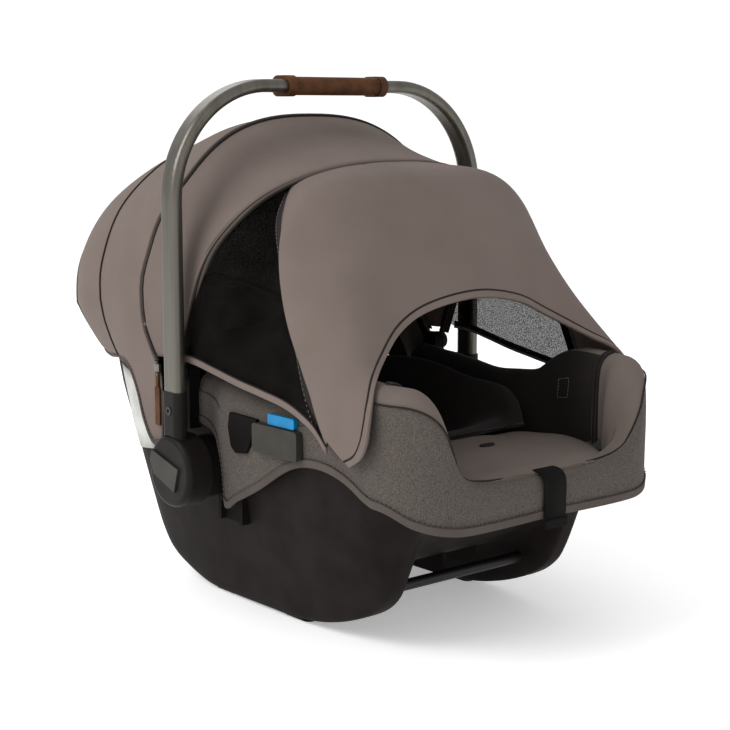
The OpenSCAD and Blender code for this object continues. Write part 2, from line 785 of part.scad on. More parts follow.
function rear_grid(inset) = [
    for (row = rear_rows) [
        for (p = arch(row[1] * rear_canopy_half_w - inset, row[3], row[4], row[2] - inset, mid_power, 4, 20))
            let (rise = min(1, (p[1] - row[3]) / (row[4] - row[3])), wide = row[1] * rear_canopy_half_w - inset,
                hem = row[5] * rear_canopy_half_w - inset)
            [p[0] * mix(hem / wide, 1, pow(rise, 0.7)), mix(mid_y(p[1]), rear_end_y - inset, row[0]), p[1]]
    ]
];

module rear_canopy() {
    color("#7a6f69") skin(rear_grid(0), rear_grid(1.4), closed_end = true);
}

// Panel between the middle bow and the front bow; it gathers as the canopy folds
panel_steps = 6;

function panel_grid(inset) =
    let (
        back = mid_arch(inset + 3.2, mid_foot_z + 14),
        front = front_arch(1.6 - inset, canopy_pivot_z + 16, legs = 5)
    )
    [for (i = [0 : panel_steps])
        let (t = i / panel_steps, sag = 7 * sin(180 * t))
        [for (k = [0 : len(back) - 1])
            let (p = mix(back[k], front[k], t), c = [0, canopy_pivot_y, canopy_pivot_z], d = p - c)
            p - d * sag / norm(d)]];

module front_canopy() {
    color("#857872") skin(panel_grid(0), panel_grid(1.2));
}

// Drape: hangs ahead of the front bow, over the foot end, down to a tip on each side.
// Rows run from the bow to the opening's edge: [|x| place, y, z] down each side and over the top.
drape_top = [
    [0, -109, 486], [40, -108, 485], [80, -102, 480], [118, -90, 467], [148, -108, 437], [168, -134, 411],
    [178, -160, 367], [186, -184, 320], [190, -207, 264], [190, -229, 222]
];
drape_shoulder = [
    [0, -168, 470], [62, -162, 472], [108, -154, 468], [142, -146, 452], [166, -142, 422], [180, -146, 388],
    [189, -166, 340], [193, -196, 292], [195, -224, 250], [193, -236, 226]
];
drape_fall = [
    [0, -206, 410], [64, -200, 414], [110, -196, 410], [146, -190, 392], [170, -190, 362], [183, -196, 336],
    [191, -212, 304], [195, -232, 268], [196, -248, 236], [193, -248, 218]
];
drape_edge = [
    [0, -240, 353], [62, -236, 344], [104, -238, 326], [146, -260, 302], [170, -278, 287], [183, -288, 268],
    [190, -292, 250], [193, -288, 232], [191, -272, 218], [189, -258, 210]
];

function drape_row(half, inset) = [
    for (i = [len(half) - 1 : -1 : 1]) [inset - half[i][0], half[i][1] + inset * 0.4, half[i][2] - inset * 0.6],
    for (p = half) [max(p[0] - inset, 0), p[1] + inset * 0.4, p[2] - inset * 0.6]
];

module drape() {
    color("#74675f") skin(
        [for (r = [drape_top, drape_shoulder, drape_fall, drape_edge]) drape_row(r, 0)],
        [for (r = [drape_top, drape_shoulder, drape_fall, drape_edge]) drape_row(r, 1.2)]
    );
}

// Mesh side windows: their upper edge follows the front bow, then the drape's side edge
window_upper = concat(
    [for (z = [284, 312, 340, 368, 396, 424, 448]) [bow_x(z) + 1.6, bow_y(z) - 4, z]],
    [for (i = [3 : 9]) drape_top[i]]
);
function window_hem(y) = [
    along(-y, [[-10, 199], [20, 200], [94, 197], [176, 194], [231, 191]]), y,
    along(-y, [[-10, 281], [20, 279], [58, 272], [94, 265], [134, 259], [176, 251], [214, 233], [231, 216]])
];

function window_grid(inset) =
    let (last = len(window_upper) - 1)
    [for (t = [0, 0.35, 0.7, 1])
        [for (i = [0 : last])
            let (p = mix(window_upper[i], window_hem(mix(8, -231, i / last)), t))
            [p[0] - inset - (i < 7 ? 0 : 2 * (1 - t)), p[1], p[2]]]];

module side_window() {
    skin(window_grid(0), window_grid(0.9));
}

module side_window_left() {
    color("#1c1b1b") mirror([1, 0, 0]) side_window();
}

module side_window_right() {
    color("#1c1b1b") side_window();
}

// ---- zip pulls -------------------------------------------------------------------------------------------------------------

zip_place = [201.7, 50, 257];
pull_pin_r = 1.2;

module zip_slider() {
    translate(zip_place) {
        translate([0, -5, 3.6]) cube([3.4, 10, 8]);
        translate([0, -1.6, -2]) cube([0.8, 3.2, 6]);
        rotate([0, 90, 0]) cylinder(r = pull_pin_r, h = 3.2);
    }
}

module zip_pull() {
    translate(zip_place) difference() {
        translate([1.2, 0, 0]) rotate([90, 0, 90]) linear_extrude(1.8) union() {
            circle(3.2);
            translate([-2.4, -14]) square([4.8, 14]);
            translate([-4.5, -56]) square([9, 42]);
        }
        rotate([0, 90, 0]) cylinder(r = pull_pin_r + 0.05, h = 8);
    }
}

module zip_slider_left() {
    color("#8a8a8a") mirror([1, 0, 0]) zip_slider();
}

module zip_slider_right() {
    color("#8a8a8a") zip_slider();
}

module zip_pull_left() {
    color("#6b4226") mirror([1, 0, 0]) zip_pull();
}

module zip_pull_right() {
    color("#6b4226") zip_pull();
}

seat_shell();
rocker_feet();
latch_bars();
adapter_sockets();
foam_liner();
splitter_plate();
seat_cover();
seat_pad();
body_insert();
head_support();
harness_straps();
shoulder_pads();
chest_clip();
crotch_strap();
buckle_housing();
buckle_button();
adjuster_strap();
adjuster_housing();
adjuster_button();
belt_guide_left();
belt_guide_right();
guide_markers();
guide_flaps();
release_handle();
release_bracket();
handle_boss_left();
handle_boss_right();
handle_hub_left();
handle_hub_right();
handle_button_left();
handle_button_right();
button_springs();
handle_tube();
handle_sleeves();
sleeve_screws();
handle_grip();
canopy_mounts();
front_bow();
mid_bow();
rear_canopy();
front_canopy();
drape();
side_window_left();
side_window_right();
zip_slider_left();
zip_slider_right();
zip_pull_left();
zip_pull_right();
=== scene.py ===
# Infant car seat: cloth, trim, finishes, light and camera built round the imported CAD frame.
# Lengths in the tables are millimetres in the frame's axes; MM turns them into metres.
import json
import math

import bpy
import numpy as np
from mathutils import Matrix, Vector

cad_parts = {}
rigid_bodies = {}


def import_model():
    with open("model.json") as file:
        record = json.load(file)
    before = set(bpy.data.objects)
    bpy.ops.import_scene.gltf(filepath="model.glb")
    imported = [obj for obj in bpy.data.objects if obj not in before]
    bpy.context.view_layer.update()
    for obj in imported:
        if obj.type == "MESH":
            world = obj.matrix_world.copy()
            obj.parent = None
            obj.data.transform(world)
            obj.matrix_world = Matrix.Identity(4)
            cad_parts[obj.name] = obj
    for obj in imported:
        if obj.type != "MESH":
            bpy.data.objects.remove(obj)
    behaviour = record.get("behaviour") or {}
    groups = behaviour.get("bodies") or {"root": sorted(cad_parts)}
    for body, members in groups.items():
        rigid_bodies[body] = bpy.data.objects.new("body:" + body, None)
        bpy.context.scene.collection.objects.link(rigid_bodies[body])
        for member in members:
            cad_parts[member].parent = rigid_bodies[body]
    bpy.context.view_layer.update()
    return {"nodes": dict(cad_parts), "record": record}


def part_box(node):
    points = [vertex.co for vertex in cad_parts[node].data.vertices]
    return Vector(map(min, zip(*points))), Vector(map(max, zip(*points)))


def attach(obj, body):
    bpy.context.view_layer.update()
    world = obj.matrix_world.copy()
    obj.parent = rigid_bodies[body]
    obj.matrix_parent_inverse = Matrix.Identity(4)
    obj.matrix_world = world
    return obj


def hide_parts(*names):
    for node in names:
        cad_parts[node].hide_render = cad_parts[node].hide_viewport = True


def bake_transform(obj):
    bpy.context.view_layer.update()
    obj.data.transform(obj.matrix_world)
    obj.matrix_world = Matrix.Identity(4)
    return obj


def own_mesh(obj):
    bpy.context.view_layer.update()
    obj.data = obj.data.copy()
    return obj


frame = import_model()
MM = 0.001


def low(node):
    return np.array(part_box(node)[0]) / MM


def high(node):
    return np.array(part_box(node)[1]) / MM


# ---- curves --------------------------------------------------------------------------------------

def along(x, knots):
    """Smooth curve through (key, value) knots, level past its ends; values may be points."""
    keys = np.array([k[0] for k in knots], float)
    values = np.array([k[1:] for k in knots], float)
    i = np.arange(len(keys))
    before, after = np.maximum(i - 1, 0), np.minimum(i + 1, len(keys) - 1)
    slopes = (values[after] - values[before]) / (keys[after] - keys[before])[:, None]
    x = np.clip(np.asarray(x, float), keys[0], keys[-1])
    i = np.clip(np.searchsorted(keys, x, side="right") - 1, 0, len(keys) - 2)
    span = (keys[i + 1] - keys[i])[..., None]
    t = (x - keys[i])[..., None] / span
    out = (values[i] * (2 * t**3 - 3 * t**2 + 1) + span * slopes[i] * (t**3 - 2 * t**2 + t)
           + values[i + 1] * (3 * t**2 - 2 * t**3) + span * slopes[i + 1] * (t**3 - t**2))
    return out[..., 0] if out.shape[-1] == 1 else out


def mix(a, b, t):
    return a + (b - a) * t


def keyed(points):
    """Points as knots keyed by the length walked along them."""
    p = np.array(points, float)
    walked = np.concatenate([[0], np.cumsum(np.linalg.norm(np.diff(p, axis=0), axis=1))])
    return [(k, *q) for k, q in zip(walked, p)]


def smooth_path(points, step):
    """Smooth curve through points, with a point about every step millimetres."""
    knots = keyed(points)
    return along(np.linspace(0, knots[-1][0], max(int(knots[-1][0] / step), 4)), knots)


def spaced(points, count=160):
    """Smooth curve through points as count points, so two such curves can be the edges of one band."""
    knots = keyed(points)
    return along(np.linspace(0, knots[-1][0], count), knots)


def smooth_grid(rows, row_count, col_count):
    """Smooth surface grid through rows of points that all have the same number of columns."""
    rows = np.array(rows, float)
    fine = []
    for row in rows:
        knots = [(i, *p) for i, p in enumerate(row)]
        fine.append(along(np.linspace(0, len(row) - 1, col_count), knots))
    fine = np.array(fine)
    at = np.linspace(0, len(rows) - 1, row_count)
    return np.stack([along(at, [(i, *p) for i, p in enumerate(fine[:, c])]) for c in range(col_count)], 1)


def mirrored(points):
    return np.array(points, float) * (-1, 1, 1)


LEG_POINTS, CROWN_POINTS = 10, 64


def arch(half_w, foot, shoulder, top, power):
    """[x, z] points of an arch from its left foot over the top to its right foot."""
    left = [(-half_w, mix(foot, shoulder, i / LEG_POINTS)) for i in range(LEG_POINTS)]
    angle = np.radians(np.linspace(180, 0, CROWN_POINTS + 1))
    c, s = np.cos(angle), np.abs(np.sin(angle))
    over = np.stack([half_w * np.sign(c) * np.abs(c) ** (2 / power),
                     shoulder + (top - shoulder) * s ** (2 / power)], 1)
    return np.concatenate([np.array(left).reshape(-1, 2), over,
                           np.array([(-x, z) for x, z in reversed(left)]).reshape(-1, 2)])


# ---- meshes --------------------------------------------------------------------------------------

materials = {}


def add_mesh(name, verts, faces, slot_name, body="root", smooth=True):
    """A named piece from millimetre points, with its finish, riding on a body."""
    mesh = bpy.data.meshes.new(name)
    mesh.from_pydata((np.asarray(verts, float) * MM).tolist(), [], [list(map(int, f)) for f in faces])
    mesh.validate()
    mesh.update()
    for polygon in mesh.polygons:
        polygon.use_smooth = smooth
    obj = bpy.data.objects.new(name, mesh)
    bpy.context.scene.collection.objects.link(obj)
    obj.data.materials.append(materials[slot_name])
    if body:
        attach(obj, body)
    return obj


def grid_faces(rows, cols, wrap=False):
    ends = cols if wrap else cols - 1
    return [(r * cols + c, r * cols + (c + 1) % cols, (r + 1) * cols + (c + 1) % cols, (r + 1) * cols + c)
            for r in range(rows - 1) for c in range(ends)]


def subdivide(obj, levels):
    modifier = obj.modifiers.new("smooth", "SUBSURF")
    modifier.levels = modifier.render_levels = levels


def add_cloth(name, grid, slot_name, body="root", thick=1.6, offset=-1.0):
    grid = np.asarray(grid)
    rows, cols = grid.shape[:2]
    obj = add_mesh(name, grid.reshape(-1, 3), grid_faces(rows, cols), slot_name, body)
    modifier = obj.modifiers.new("thickness", "SOLIDIFY")
    modifier.thickness = thick * MM
    modifier.offset = offset
    return obj


def add_loft(name, sections, slot_name, body="root", levels=0):
    """Closed solid through closed sections; each end is filled across from its first half to its second."""
    sections = np.asarray(sections)
    rows, cols = sections.shape[:2]
    faces = grid_faces(rows, cols, wrap=True)
    half = cols // 2
    for start, turn in ((0, 1), ((rows - 1) * cols, -1)):
        for i in range(half - 1 + cols % 2):
            a, b, c, d = i, i + 1, (cols - 2 - i) % cols, (cols - 1 - i) % cols
            ring = [a, b, c, d] if b != c else [a, b, d]
            faces.append([start + k for k in ring[::turn]])
    obj = add_mesh(name, sections.reshape(-1, 3), faces, slot_name, body)
    if levels:
        subdivide(obj, levels)
    return obj


def directions(path):
    """Unit vector along the path at each of its points."""
    ahead = np.gradient(path, axis=0)
    return ahead / np.linalg.norm(ahead, axis=1)[:, None]


def add_tube(name, path, radius, slot_name, body="root", sides=8, up=(0.0, 0.3, 1.0)):
    """Round cord along a path; up is a direction the path never takes."""
    path = np.asarray(path, float)
    ahead = directions(path)
    side = np.cross(ahead, up)
    side /= np.linalg.norm(side, axis=1)[:, None]
    lift = np.cross(side, ahead)
    turn = np.linspace(0, 2 * math.pi, sides, endpoint=False)
    ring = (np.cos(turn)[:, None] * side[:, None] + np.sin(turn)[:, None] * lift[:, None]) * radius
    return add_loft(name, path[:, None] + ring, slot_name, body)


def add_stitches(name, path, out, slot_name, body="root", length=3.0, gap=2.2, width=0.7):
    """Row of short raised threads along a path; out is the way the threads stand proud."""
    path = np.asarray(path, float)
    walked = np.concatenate([[0], np.cumsum(np.linalg.norm(np.diff(path, axis=0), axis=1))])
    starts = np.arange(gap, walked[-1] - length, length + gap)
    a, b = (np.stack([np.interp(s, walked, path[:, k]) for k in range(3)], -1)
            for s in (starts, starts + length))
    out = np.asarray(out, float)
    side = np.cross(b - a, out)
    side /= np.linalg.norm(side, axis=1)[:, None]
    mid, inset = (a + b) / 2 + out * width * 0.6, (b - a) * 0.25
    verts, faces = [], []
    for p, q, m, s, d in zip(a, b, mid, side * width / 2, inset):
        n = len(verts)
        verts += [p, p + d + s, q - d + s, q, q - d - s, p + d - s, m - d * 0.6, m + d * 0.6]
        faces += [[n + i for i in f] for f in ((0, 1, 6), (1, 2, 7, 6), (2, 3, 7), (3, 4, 7), (4, 5, 6, 7),
                                               (5, 0, 6), (5, 4, 3, 2, 1, 0))]
    return add_mesh(name, verts, faces, slot_name, body)


def add_band(name, inner, outer, slot_name, thick, body="root"):
    """Folded binding between two paths that have the same number of points."""
    grid = np.stack([mix(inner, outer, t) for t in (0.0, 0.15, 0.5, 0.85, 1.0)])
    return add_cloth(name, grid, slot_name, body, thick, offset=0.0)


BOX_BEVEL, BEVEL_SEGMENTS = 0.8, 2


def add_box(name, corner, size, slot_name):
    x, y, z = np.array([corner, np.array(corner) + size], float).T
    verts = [(x[i], y[j], z[k]) for k in (0, 1) for j in (0, 1) for i in (0, 1)]
    faces = [(0, 2, 3, 1), (4, 5, 7, 6), (0, 1, 5, 4), (2, 6, 7, 3), (0, 4, 6, 2), (1, 3, 7, 5)]
    obj = add_mesh(name, verts, faces, slot_name, smooth=False)
    modifier = obj.modifiers.new("edges", "BEVEL")
    modifier.width, modifier.segments = BOX_BEVEL * MM, BEVEL_SEGMENTS


# ---- finishes ------------------------------------------------------------------------------------

class Finish:
    """A Principled material whose colour and relief come from procedural textures."""

    def __init__(self, name, roughness, metallic=0.0, sheen=0.0, specular=0.2):
        self.material = bpy.data.materials.new(name)
        self.material.use_nodes = True
        self.tree = self.material.node_tree
        self.tree.nodes.clear()
        self.output = self.tree.nodes.new("ShaderNodeOutputMaterial")
        self.shader = self.tree.nodes.new("ShaderNodeBsdfPrincipled")
        self.tree.links.new(self.shader.outputs[0], self.output.inputs[0])
        self.shader.inputs["Roughness"].default_value = roughness
        self.shader.inputs["Metallic"].default_value = metallic
        self.shader.inputs["Sheen Weight"].default_value = sheen
        self.shader.inputs["Sheen Roughness"].default_value = 0.5
        self.shader.inputs["Specular IOR Level"].default_value = specular
        self.place = self.tree.nodes.new("ShaderNodeTexCoord").outputs["Object"]
        materials[name] = self.material

    def noise(self, scale, detail=2.0, stretch=None):
        node = self.tree.nodes.new("ShaderNodeTexNoise")
        node.inputs["Scale"].default_value = scale
        node.inputs["Detail"].default_value = detail
        self.tree.links.new(self.stretched(stretch), node.inputs["Vector"])
        return node.outputs["Fac"]

    def stretched(self, stretch):
        if stretch is None:
            return self.place
        node = self.tree.nodes.new("ShaderNodeMapping")
        node.inputs["Scale"].default_value = stretch
        self.tree.links.new(self.place, node.inputs["Vector"])
        return node.outputs[0]

    def cells(self, scale):
        node = self.tree.nodes.new("ShaderNodeTexVoronoi")
        node.inputs["Scale"].default_value = scale
        self.tree.links.new(self.place, node.inputs["Vector"])
        return node.outputs["Distance"]

    def threads(self, scale, direction):
        node = self.tree.nodes.new("ShaderNodeTexWave")
        node.bands_direction = direction
        node.inputs["Scale"].default_value = scale
        node.inputs["Distortion"].default_value = 0.6
        node.inputs["Detail"].default_value = 1.0
        self.tree.links.new(self.place, node.inputs["Vector"])
        return node.outputs["Fac"]

    def sum(self, a, b):
        node = self.tree.nodes.new("ShaderNodeMath")
        node.operation = "ADD"
        self.tree.links.new(a, node.inputs[0])
        self.tree.links.new(b, node.inputs[1])
        return node.outputs[0]

    def tint(self, dark, light, source, edges=(0.35, 0.65)):
        node = self.tree.nodes.new("ShaderNodeValToRGB")
        for stop, colour, place in zip(node.color_ramp.elements, (dark, light), edges):
            stop.color, stop.position = (*colour, 1.0), place
        self.tree.links.new(source, node.inputs[0])
        self.tree.links.new(node.outputs[0], self.shader.inputs["Base Color"])
        return self

    def relief(self, source, strength, depth):
        node = self.tree.nodes.new("ShaderNodeBump")
        node.inputs["Strength"].default_value = strength
        node.inputs["Distance"].default_value = depth * MM
        self.tree.links.new(source, node.inputs["Height"])
        self.tree.links.new(node.outputs[0], self.shader.inputs["Normal"])
        return self

    def see_through(self, source, least, most):
        """Lets light through: least is how much the cloth covers where source is 0, most where it is 1."""
        cover = self.tree.nodes.new("ShaderNodeMapRange")
        cover.inputs["To Min"].default_value, cover.inputs["To Max"].default_value = least, most
        self.tree.links.new(source, cover.inputs["Value"])
        self.tree.links.new(cover.outputs["Result"], self.shader.inputs["Alpha"])
        return self


PLASTIC_GRAIN, CLOTH_ROUGHNESS, CLOTH_SLUBS = 900.0, 0.9, 500.0


def plastic(name, colour, roughness, depth=0.12, specular=0.22):
    """Moulded plastic with a fine grain and slightly uneven colour."""
    f = Finish(name, roughness, specular=specular)
    fine = f.noise(PLASTIC_GRAIN)
    f.tint([c * 0.8 for c in colour], [c * 1.2 for c in colour], f.noise(30.0, 3.0))
    f.relief(fine, 0.35, depth)


def metal(name, colour, roughness, stretch):
    """Brushed metal; stretch draws the brush marks out along an axis."""
    f = Finish(name, roughness, metallic=0.9, specular=0.5)
    brushed = f.noise(120.0, 3.0, stretch)
    f.tint([c * 0.85 for c in colour], [c * 1.12 for c in colour], brushed)
    f.relief(brushed, 0.2, 0.05)


def woven(name, dark, light, thread=260.0, heather=0.0, relief=0.5, sheen=0.03):
    """Cloth: threads in three directions, coloured by flecks where heather is given."""
    f = Finish(name, CLOTH_ROUGHNESS, sheen=sheen, specular=0.12)
    cross = f.sum(f.sum(f.threads(thread, "X"), f.threads(thread, "Y")), f.threads(thread, "Z"))
    fleck = f.noise(heather or CLOTH_SLUBS, 2.0, (1.0, 1.0, 0.5))
    f.tint(dark, light, fleck if heather else f.noise(14.0, 3.0), (0.3, 0.7))
    f.relief(f.sum(cross, fleck), relief, 0.25)
    return f


plastic("shell_plastic", (0.0125, 0.0098, 0.0090), 0.6, specular=0.05)
plastic("dark_plastic", (0.0060, 0.0052, 0.0049), 0.6, specular=0.05)
plastic("hub_plastic", (0.0095, 0.0078, 0.0072), 0.45, specular=0.10)
plastic("bow_plastic", (0.016, 0.014, 0.013), 0.55, specular=0.12)
plastic("red_plastic", (0.36, 0.02, 0.015), 0.3, depth=0.03)
plastic("grey_plastic", (0.05, 0.05, 0.053), 0.5)
plastic("guide_plastic", (0.034, 0.031, 0.025), 0.45, specular=0.14)
plastic("blue_plastic", (0.001, 0.19, 0.42), 0.4, depth=0.04)
plastic("button_plastic", (0.026, 0.024, 0.019), 0.42)
plastic("foot_rubber", (0.012, 0.012, 0.012), 0.8)
plastic("label_film", (0.44, 0.44, 0.42), 0.5, depth=0.02)
metal("bar_steel", (0.03, 0.03, 0.031), 0.45, (0.02, 1.0, 1.0))
metal("screw_steel", (0.04, 0.04, 0.04), 0.4, (1.0, 1.0, 1.0))
metal("small_metal", (0.16, 0.15, 0.14), 0.3, (1.0, 1.0, 1.0))
metal("tube_aluminium", (0.130, 0.121, 0.104), 0.36, (1.0, 1.0, 0.04))
woven("heather_fabric", (0.040, 0.034, 0.030), (0.132, 0.114, 0.101), heather=1500.0, relief=0.5)
woven("pad_fabric", (0.122, 0.098, 0.086), (0.140, 0.113, 0.100), thread=420.0, relief=0.25)
woven("canopy_fabric", (0.146, 0.114, 0.100), (0.166, 0.131, 0.116), thread=520.0, relief=0.2)
woven("insert_fabric", (0.0120, 0.0095, 0.0085), (0.0200, 0.0165, 0.0150), thread=600.0,
      relief=0.12, sheen=0.06)
woven("binding_fabric", (0.072, 0.059, 0.051), (0.092, 0.076, 0.067), thread=600.0, relief=0.4)
woven("webbing", (0.0036, 0.0034, 0.0032), (0.0080, 0.0075, 0.0070), thread=300.0, relief=0.6, sheen=0.0)
woven("thread_dark", (0.014, 0.011, 0.010), (0.024, 0.019, 0.017), thread=900.0)
woven("thread_light", (0.24, 0.21, 0.19), (0.34, 0.30, 0.27), thread=900.0)
woven("thread_tan", (0.15, 0.075, 0.034), (0.22, 0.12, 0.055), thread=900.0)

leather = Finish("brown_leather", 0.6, specular=0.15)
leather.tint((0.050, 0.018, 0.0050), (0.092, 0.036, 0.0120), leather.noise(60.0, 4.0))
leather.relief(leather.sum(leather.cells(700.0), leather.noise(300.0, 3.0)), 0.45, 0.25)

foam = Finish("liner_foam", 0.9)
foam.tint((0.028, 0.028, 0.030), (0.055, 0.055, 0.058), foam.cells(260.0), (0.1, 0.6))
foam.relief(foam.cells(260.0), 0.6, 0.5)

net = Finish("mesh_fabric", 0.9, specular=0.03)
net.tint((0.005, 0.0045, 0.004), (0.009, 0.008, 0.0075), net.noise(40.0))
net.relief(net.cells(1100.0), 0.3, 0.2)
net.see_through(net.cells(800.0), 0.30, 0.95)

for entry in frame["record"]["subparts"]:
    node = frame["nodes"][entry["node"]]
    node.data.materials.clear()
    node.data.materials.append(materials[entry["material_slot"]])

# ---- shell ---------------------------------------------------------------------------------------

SHELL_WALL = 5.0
SHELL_FRONT, SHELL_BACK, SHELL_ROWS = -343, 316, 84
# Each knot: y, then the height or half width there
rim_half_knots = [(-343, 92), (-335, 118), (-318, 140), (-290, 156), (-250, 166), (-190, 172), (-180, 172),
                  (80, 172), (90, 172), (150, 167), (210, 153), (250, 137), (290, 108), (316, 68)]
rim_height_knots = [(-343, 168), (-320, 182), (-280, 206), (-230, 224), (-150, 222), (30, 222), (110, 240),
                    (200, 270), (270, 304), (316, 330)]
keel_knots = [(-343, 146), (-300, 138), (-279, 128), (-271, 111), (-257, 79), (-243, 53), (-210, 30),
              (-155, 11), (-100, 2.5), (-60, 2), (40, 2), (71, 5), (111, 17), (143, 32), (168, 60),
              (190, 108),
              (215, 142), (234, 172), (249, 226), (282, 272), (316, 318)]
belly_knots = [(-343, 147), (-300, 139), (-272, 128), (-240, 104), (-200, 76), (-150, 58), (-60, 50),
               (60, 52), (120, 62), (165, 82), (190, 112), (215, 146), (234, 176), (249, 230), (282, 275),
               (316, 320)]
floor_knots = [(-343, 155), (-300, 147), (-272, 136), (-240, 112), (-200, 83), (-150, 64), (-60, 55),
               (60, 57), (120, 70), (165, 98), (190, 132), (215, 164), (234, 196), (249, 240), (282, 286),
               (316, 322)]
keel_half_knots = [(-343, 84), (-318, 112), (-290, 124), (-271, 128), (-240, 131), (-180, 134), (120, 134),
                   (168, 130), (215, 124), (249, 112), (290, 88), (316, 60)]
rail_knots = [(-343, 70), (-290, 96), (-271, 104), (-240, 102), (-180, 99), (120, 99), (168, 97),
              (316, 48)]


def seat_floor(y):
    return min(mix(along(y, keel_knots), along(y, rim_height_knots), 0.5) - 2, along(y, floor_knots))


def shell_section(y):
    """Half section from the belly's middle, round the rail and rim, to the seat floor's middle."""
    rim, top = along(y, rim_half_knots), along(y, rim_height_knots)
    keel, wide = along(y, keel_knots), along(y, keel_half_knots)
    belly = max(keel + 1, along(y, belly_knots))
    rail = min(wide - 24, along(y, rail_knots))
    seat, middle, waist = seat_floor(y), mix(keel, top, 0.5), mix(wide, rim, 0.74)
    hollow = min(seat - 1, keel + 2 * SHELL_WALL)
    lower = keel + min(9, 0.12 * (top - keel))
    half = [
        (0, belly), (rail * 0.5, belly), (rail - 8, belly), (rail - 2, belly - 0.5),
        (rail, mix(belly, keel, 0.2)), (rail + 2, mix(belly, keel, 0.85)), (rail + 4, keel), (rail + 7, keel),
        (wide - 10, keel), (wide - 4, keel), (wide, lower), (mix(wide, waist, 0.2), mix(lower, middle, 0.2)),
        (mix(wide, waist, 0.6), mix(lower, middle, 0.6)), (waist, middle),
        (mix(waist, rim, 0.75), mix(middle, top, 0.55)), (rim, top - 5), (rim, top),
        (rim - SHELL_WALL, top), (rim - SHELL_WALL, top - 5),
        (mix(waist, rim, 0.7) - SHELL_WALL, mix(middle, top, 0.55)), (waist - SHELL_WALL, middle),
        (mix(wide, waist, 0.5) - SHELL_WALL, mix(seat, middle, 0.4)),
        (wide - SHELL_WALL, mix(hollow, seat, 0.5)),
        (rail - 4, seat), (rail - 20, seat), (rail * 0.4, seat), (0, seat)]
    return [(x, y, z) for x, z in half] + [(-x, y, z) for x, z in half[-2:0:-1]]


def shell_side(y, z):
    """Half width of the shell's outer wall at a height."""
    wall = np.array(shell_section(y))[10:17]
    return float(np.interp(z, wall[:, 2], wall[:, 0]))


shell_rows = [shell_section(y) for y in np.linspace(SHELL_FRONT, SHELL_BACK, SHELL_ROWS)]
shell = add_loft("shell_moulding", shell_rows, "shell_plastic", levels=1)
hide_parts("seat_shell")

# Moulded ribs between the rails, above the space for the vehicle base
for i, x in enumerate((-55, 0, 50)):
    add_box(f"channel_rib_{i + 1}", (x, -190, 46), (5, 74, 32), "shell_plastic")

# ---- cover ---------------------------------------------------------------------------------------

cover_half_w = high("seat_cover")[0]
cover_front = -low("seat_cover")[1]
CORNER_R = 64.0
corner_x, corner_y = cover_half_w - CORNER_R, CORNER_R - cover_front
# The skirt draws in under the handle's sleeves
SLEEVE_TUCK = 5.0
# The bolsters start at LINING_START; their inner side is dark as far as LINING_END
LINING_START, LINING_END = -236, -283
# Places in a cover section: seam along the bolster's top, start of the lining, dark side panel
SEAM = 7
INNER, PANEL = SEAM + 3, SEAM + 4
side_top_knots = [(6, 262), (18, 259), (60, 254), (105, 248), (138, 250), (179, 256), (209, 276), (240, 286),
                  (285, 285)]
front_top_knots = [(-179, 285), (-165, 283), (-150, 274), (-138, 258), (-130, 234), (-118, 206), (-100, 193),
                   (-60, 188), (0, 187)]
side_hem_knots = [(-14, 208), (6, 204), (22, 194), (32, 180), (37.5, 150), (41, 124), (62, 133), (102, 153),
                  (150, 181), (180, 191), (215, 192), (246, 185), (276, 171)]
front_hem_knots = [(-179, 169), (-165, 155), (-140, 147), (-100, 144), (0, 145)]


def cover_path():
    """Outer skin in plan, left to right round the front, as (x, y, inward x, inward y)."""
    ys = np.concatenate([[14, 4, -6, -14, -22, -28, -32, -35, -37.5, -39.5, -41, -48, -55],
                         np.arange(-62, corner_y, -9.0)])
    side = [(-cover_half_w + SLEEVE_TUCK * min(1, max(0, (y + 30) / 12)), y, 1, 0) for y in ys]
    turn = np.radians(np.linspace(0, 90, 15))
    corner = [(-corner_x - CORNER_R * c, corner_y - CORNER_R * s, c, s)
              for c, s in zip(np.cos(turn), np.sin(turn))]
    front = [(-corner_x * f, -cover_front, 0, 1) for f in np.linspace(0.9, 0, 10)]
    left = side + corner + front
    return np.array(left + [(-x, y, -u, v) for x, y, u, v in reversed(left[:-1])])


def cover_heights(x, y):
    if y > corner_y:
        return along(-y, side_top_knots), along(-y, side_hem_knots)
    return along(-abs(x), front_top_knots), along(-abs(x), front_hem_knots)


def cover_section(p):
    """Skirt, rounded top and inner face of the cover at one place of its path, as 3-D points."""
    x, y, u, v = p
    top, hem = cover_heights(x, y)
    rim = along(max(y + 30 * v, SHELL_FRONT), rim_height_knots) + 3
    roll = min(1, max(0, (top - 190) / 60))
    wide, inner = mix(30, 44, roll), mix(top - 12, top - 104, roll)
    rise = top - hem
    lip = 1 - roll
    shape = [(0.4, hem), (-0.6, hem + 2), (-0.4, hem + 0.25 * rise), (-1.2, hem + 0.5 * rise),
             (-0.6, hem + 0.7 * rise), (mix(-0.2, 1, lip), top - mix(7, 32, roll)),
             (mix(0.4, 4, lip), top - mix(2.5, 23, roll)), (mix(1, 12, lip), top - mix(0.4, 16, roll)),
             (mix(5, 18, lip), top - mix(0.2, 7, roll)), (mix(12, 22, lip), top - mix(0.6, 1.5, roll)),
             (mix(20, 26, lip), top), (wide - 13, top - mix(1, 2.5, roll)),
             (wide - 5, top - mix(3, 9, roll)), (wide - 0.5, top - mix(6, 22, roll)),
             (wide + 0.5, mix(top, inner, 0.6)), (wide, inner), (wide - 4, inner),
             (mix(27, 32, roll), min(rim, top - 5)), (5, min(rim, top - 5)),
             (3.6, hem + 0.3 * rise), (3, hem)]
    return [(x + u * s, y + v * s, z) for s, z in shape]


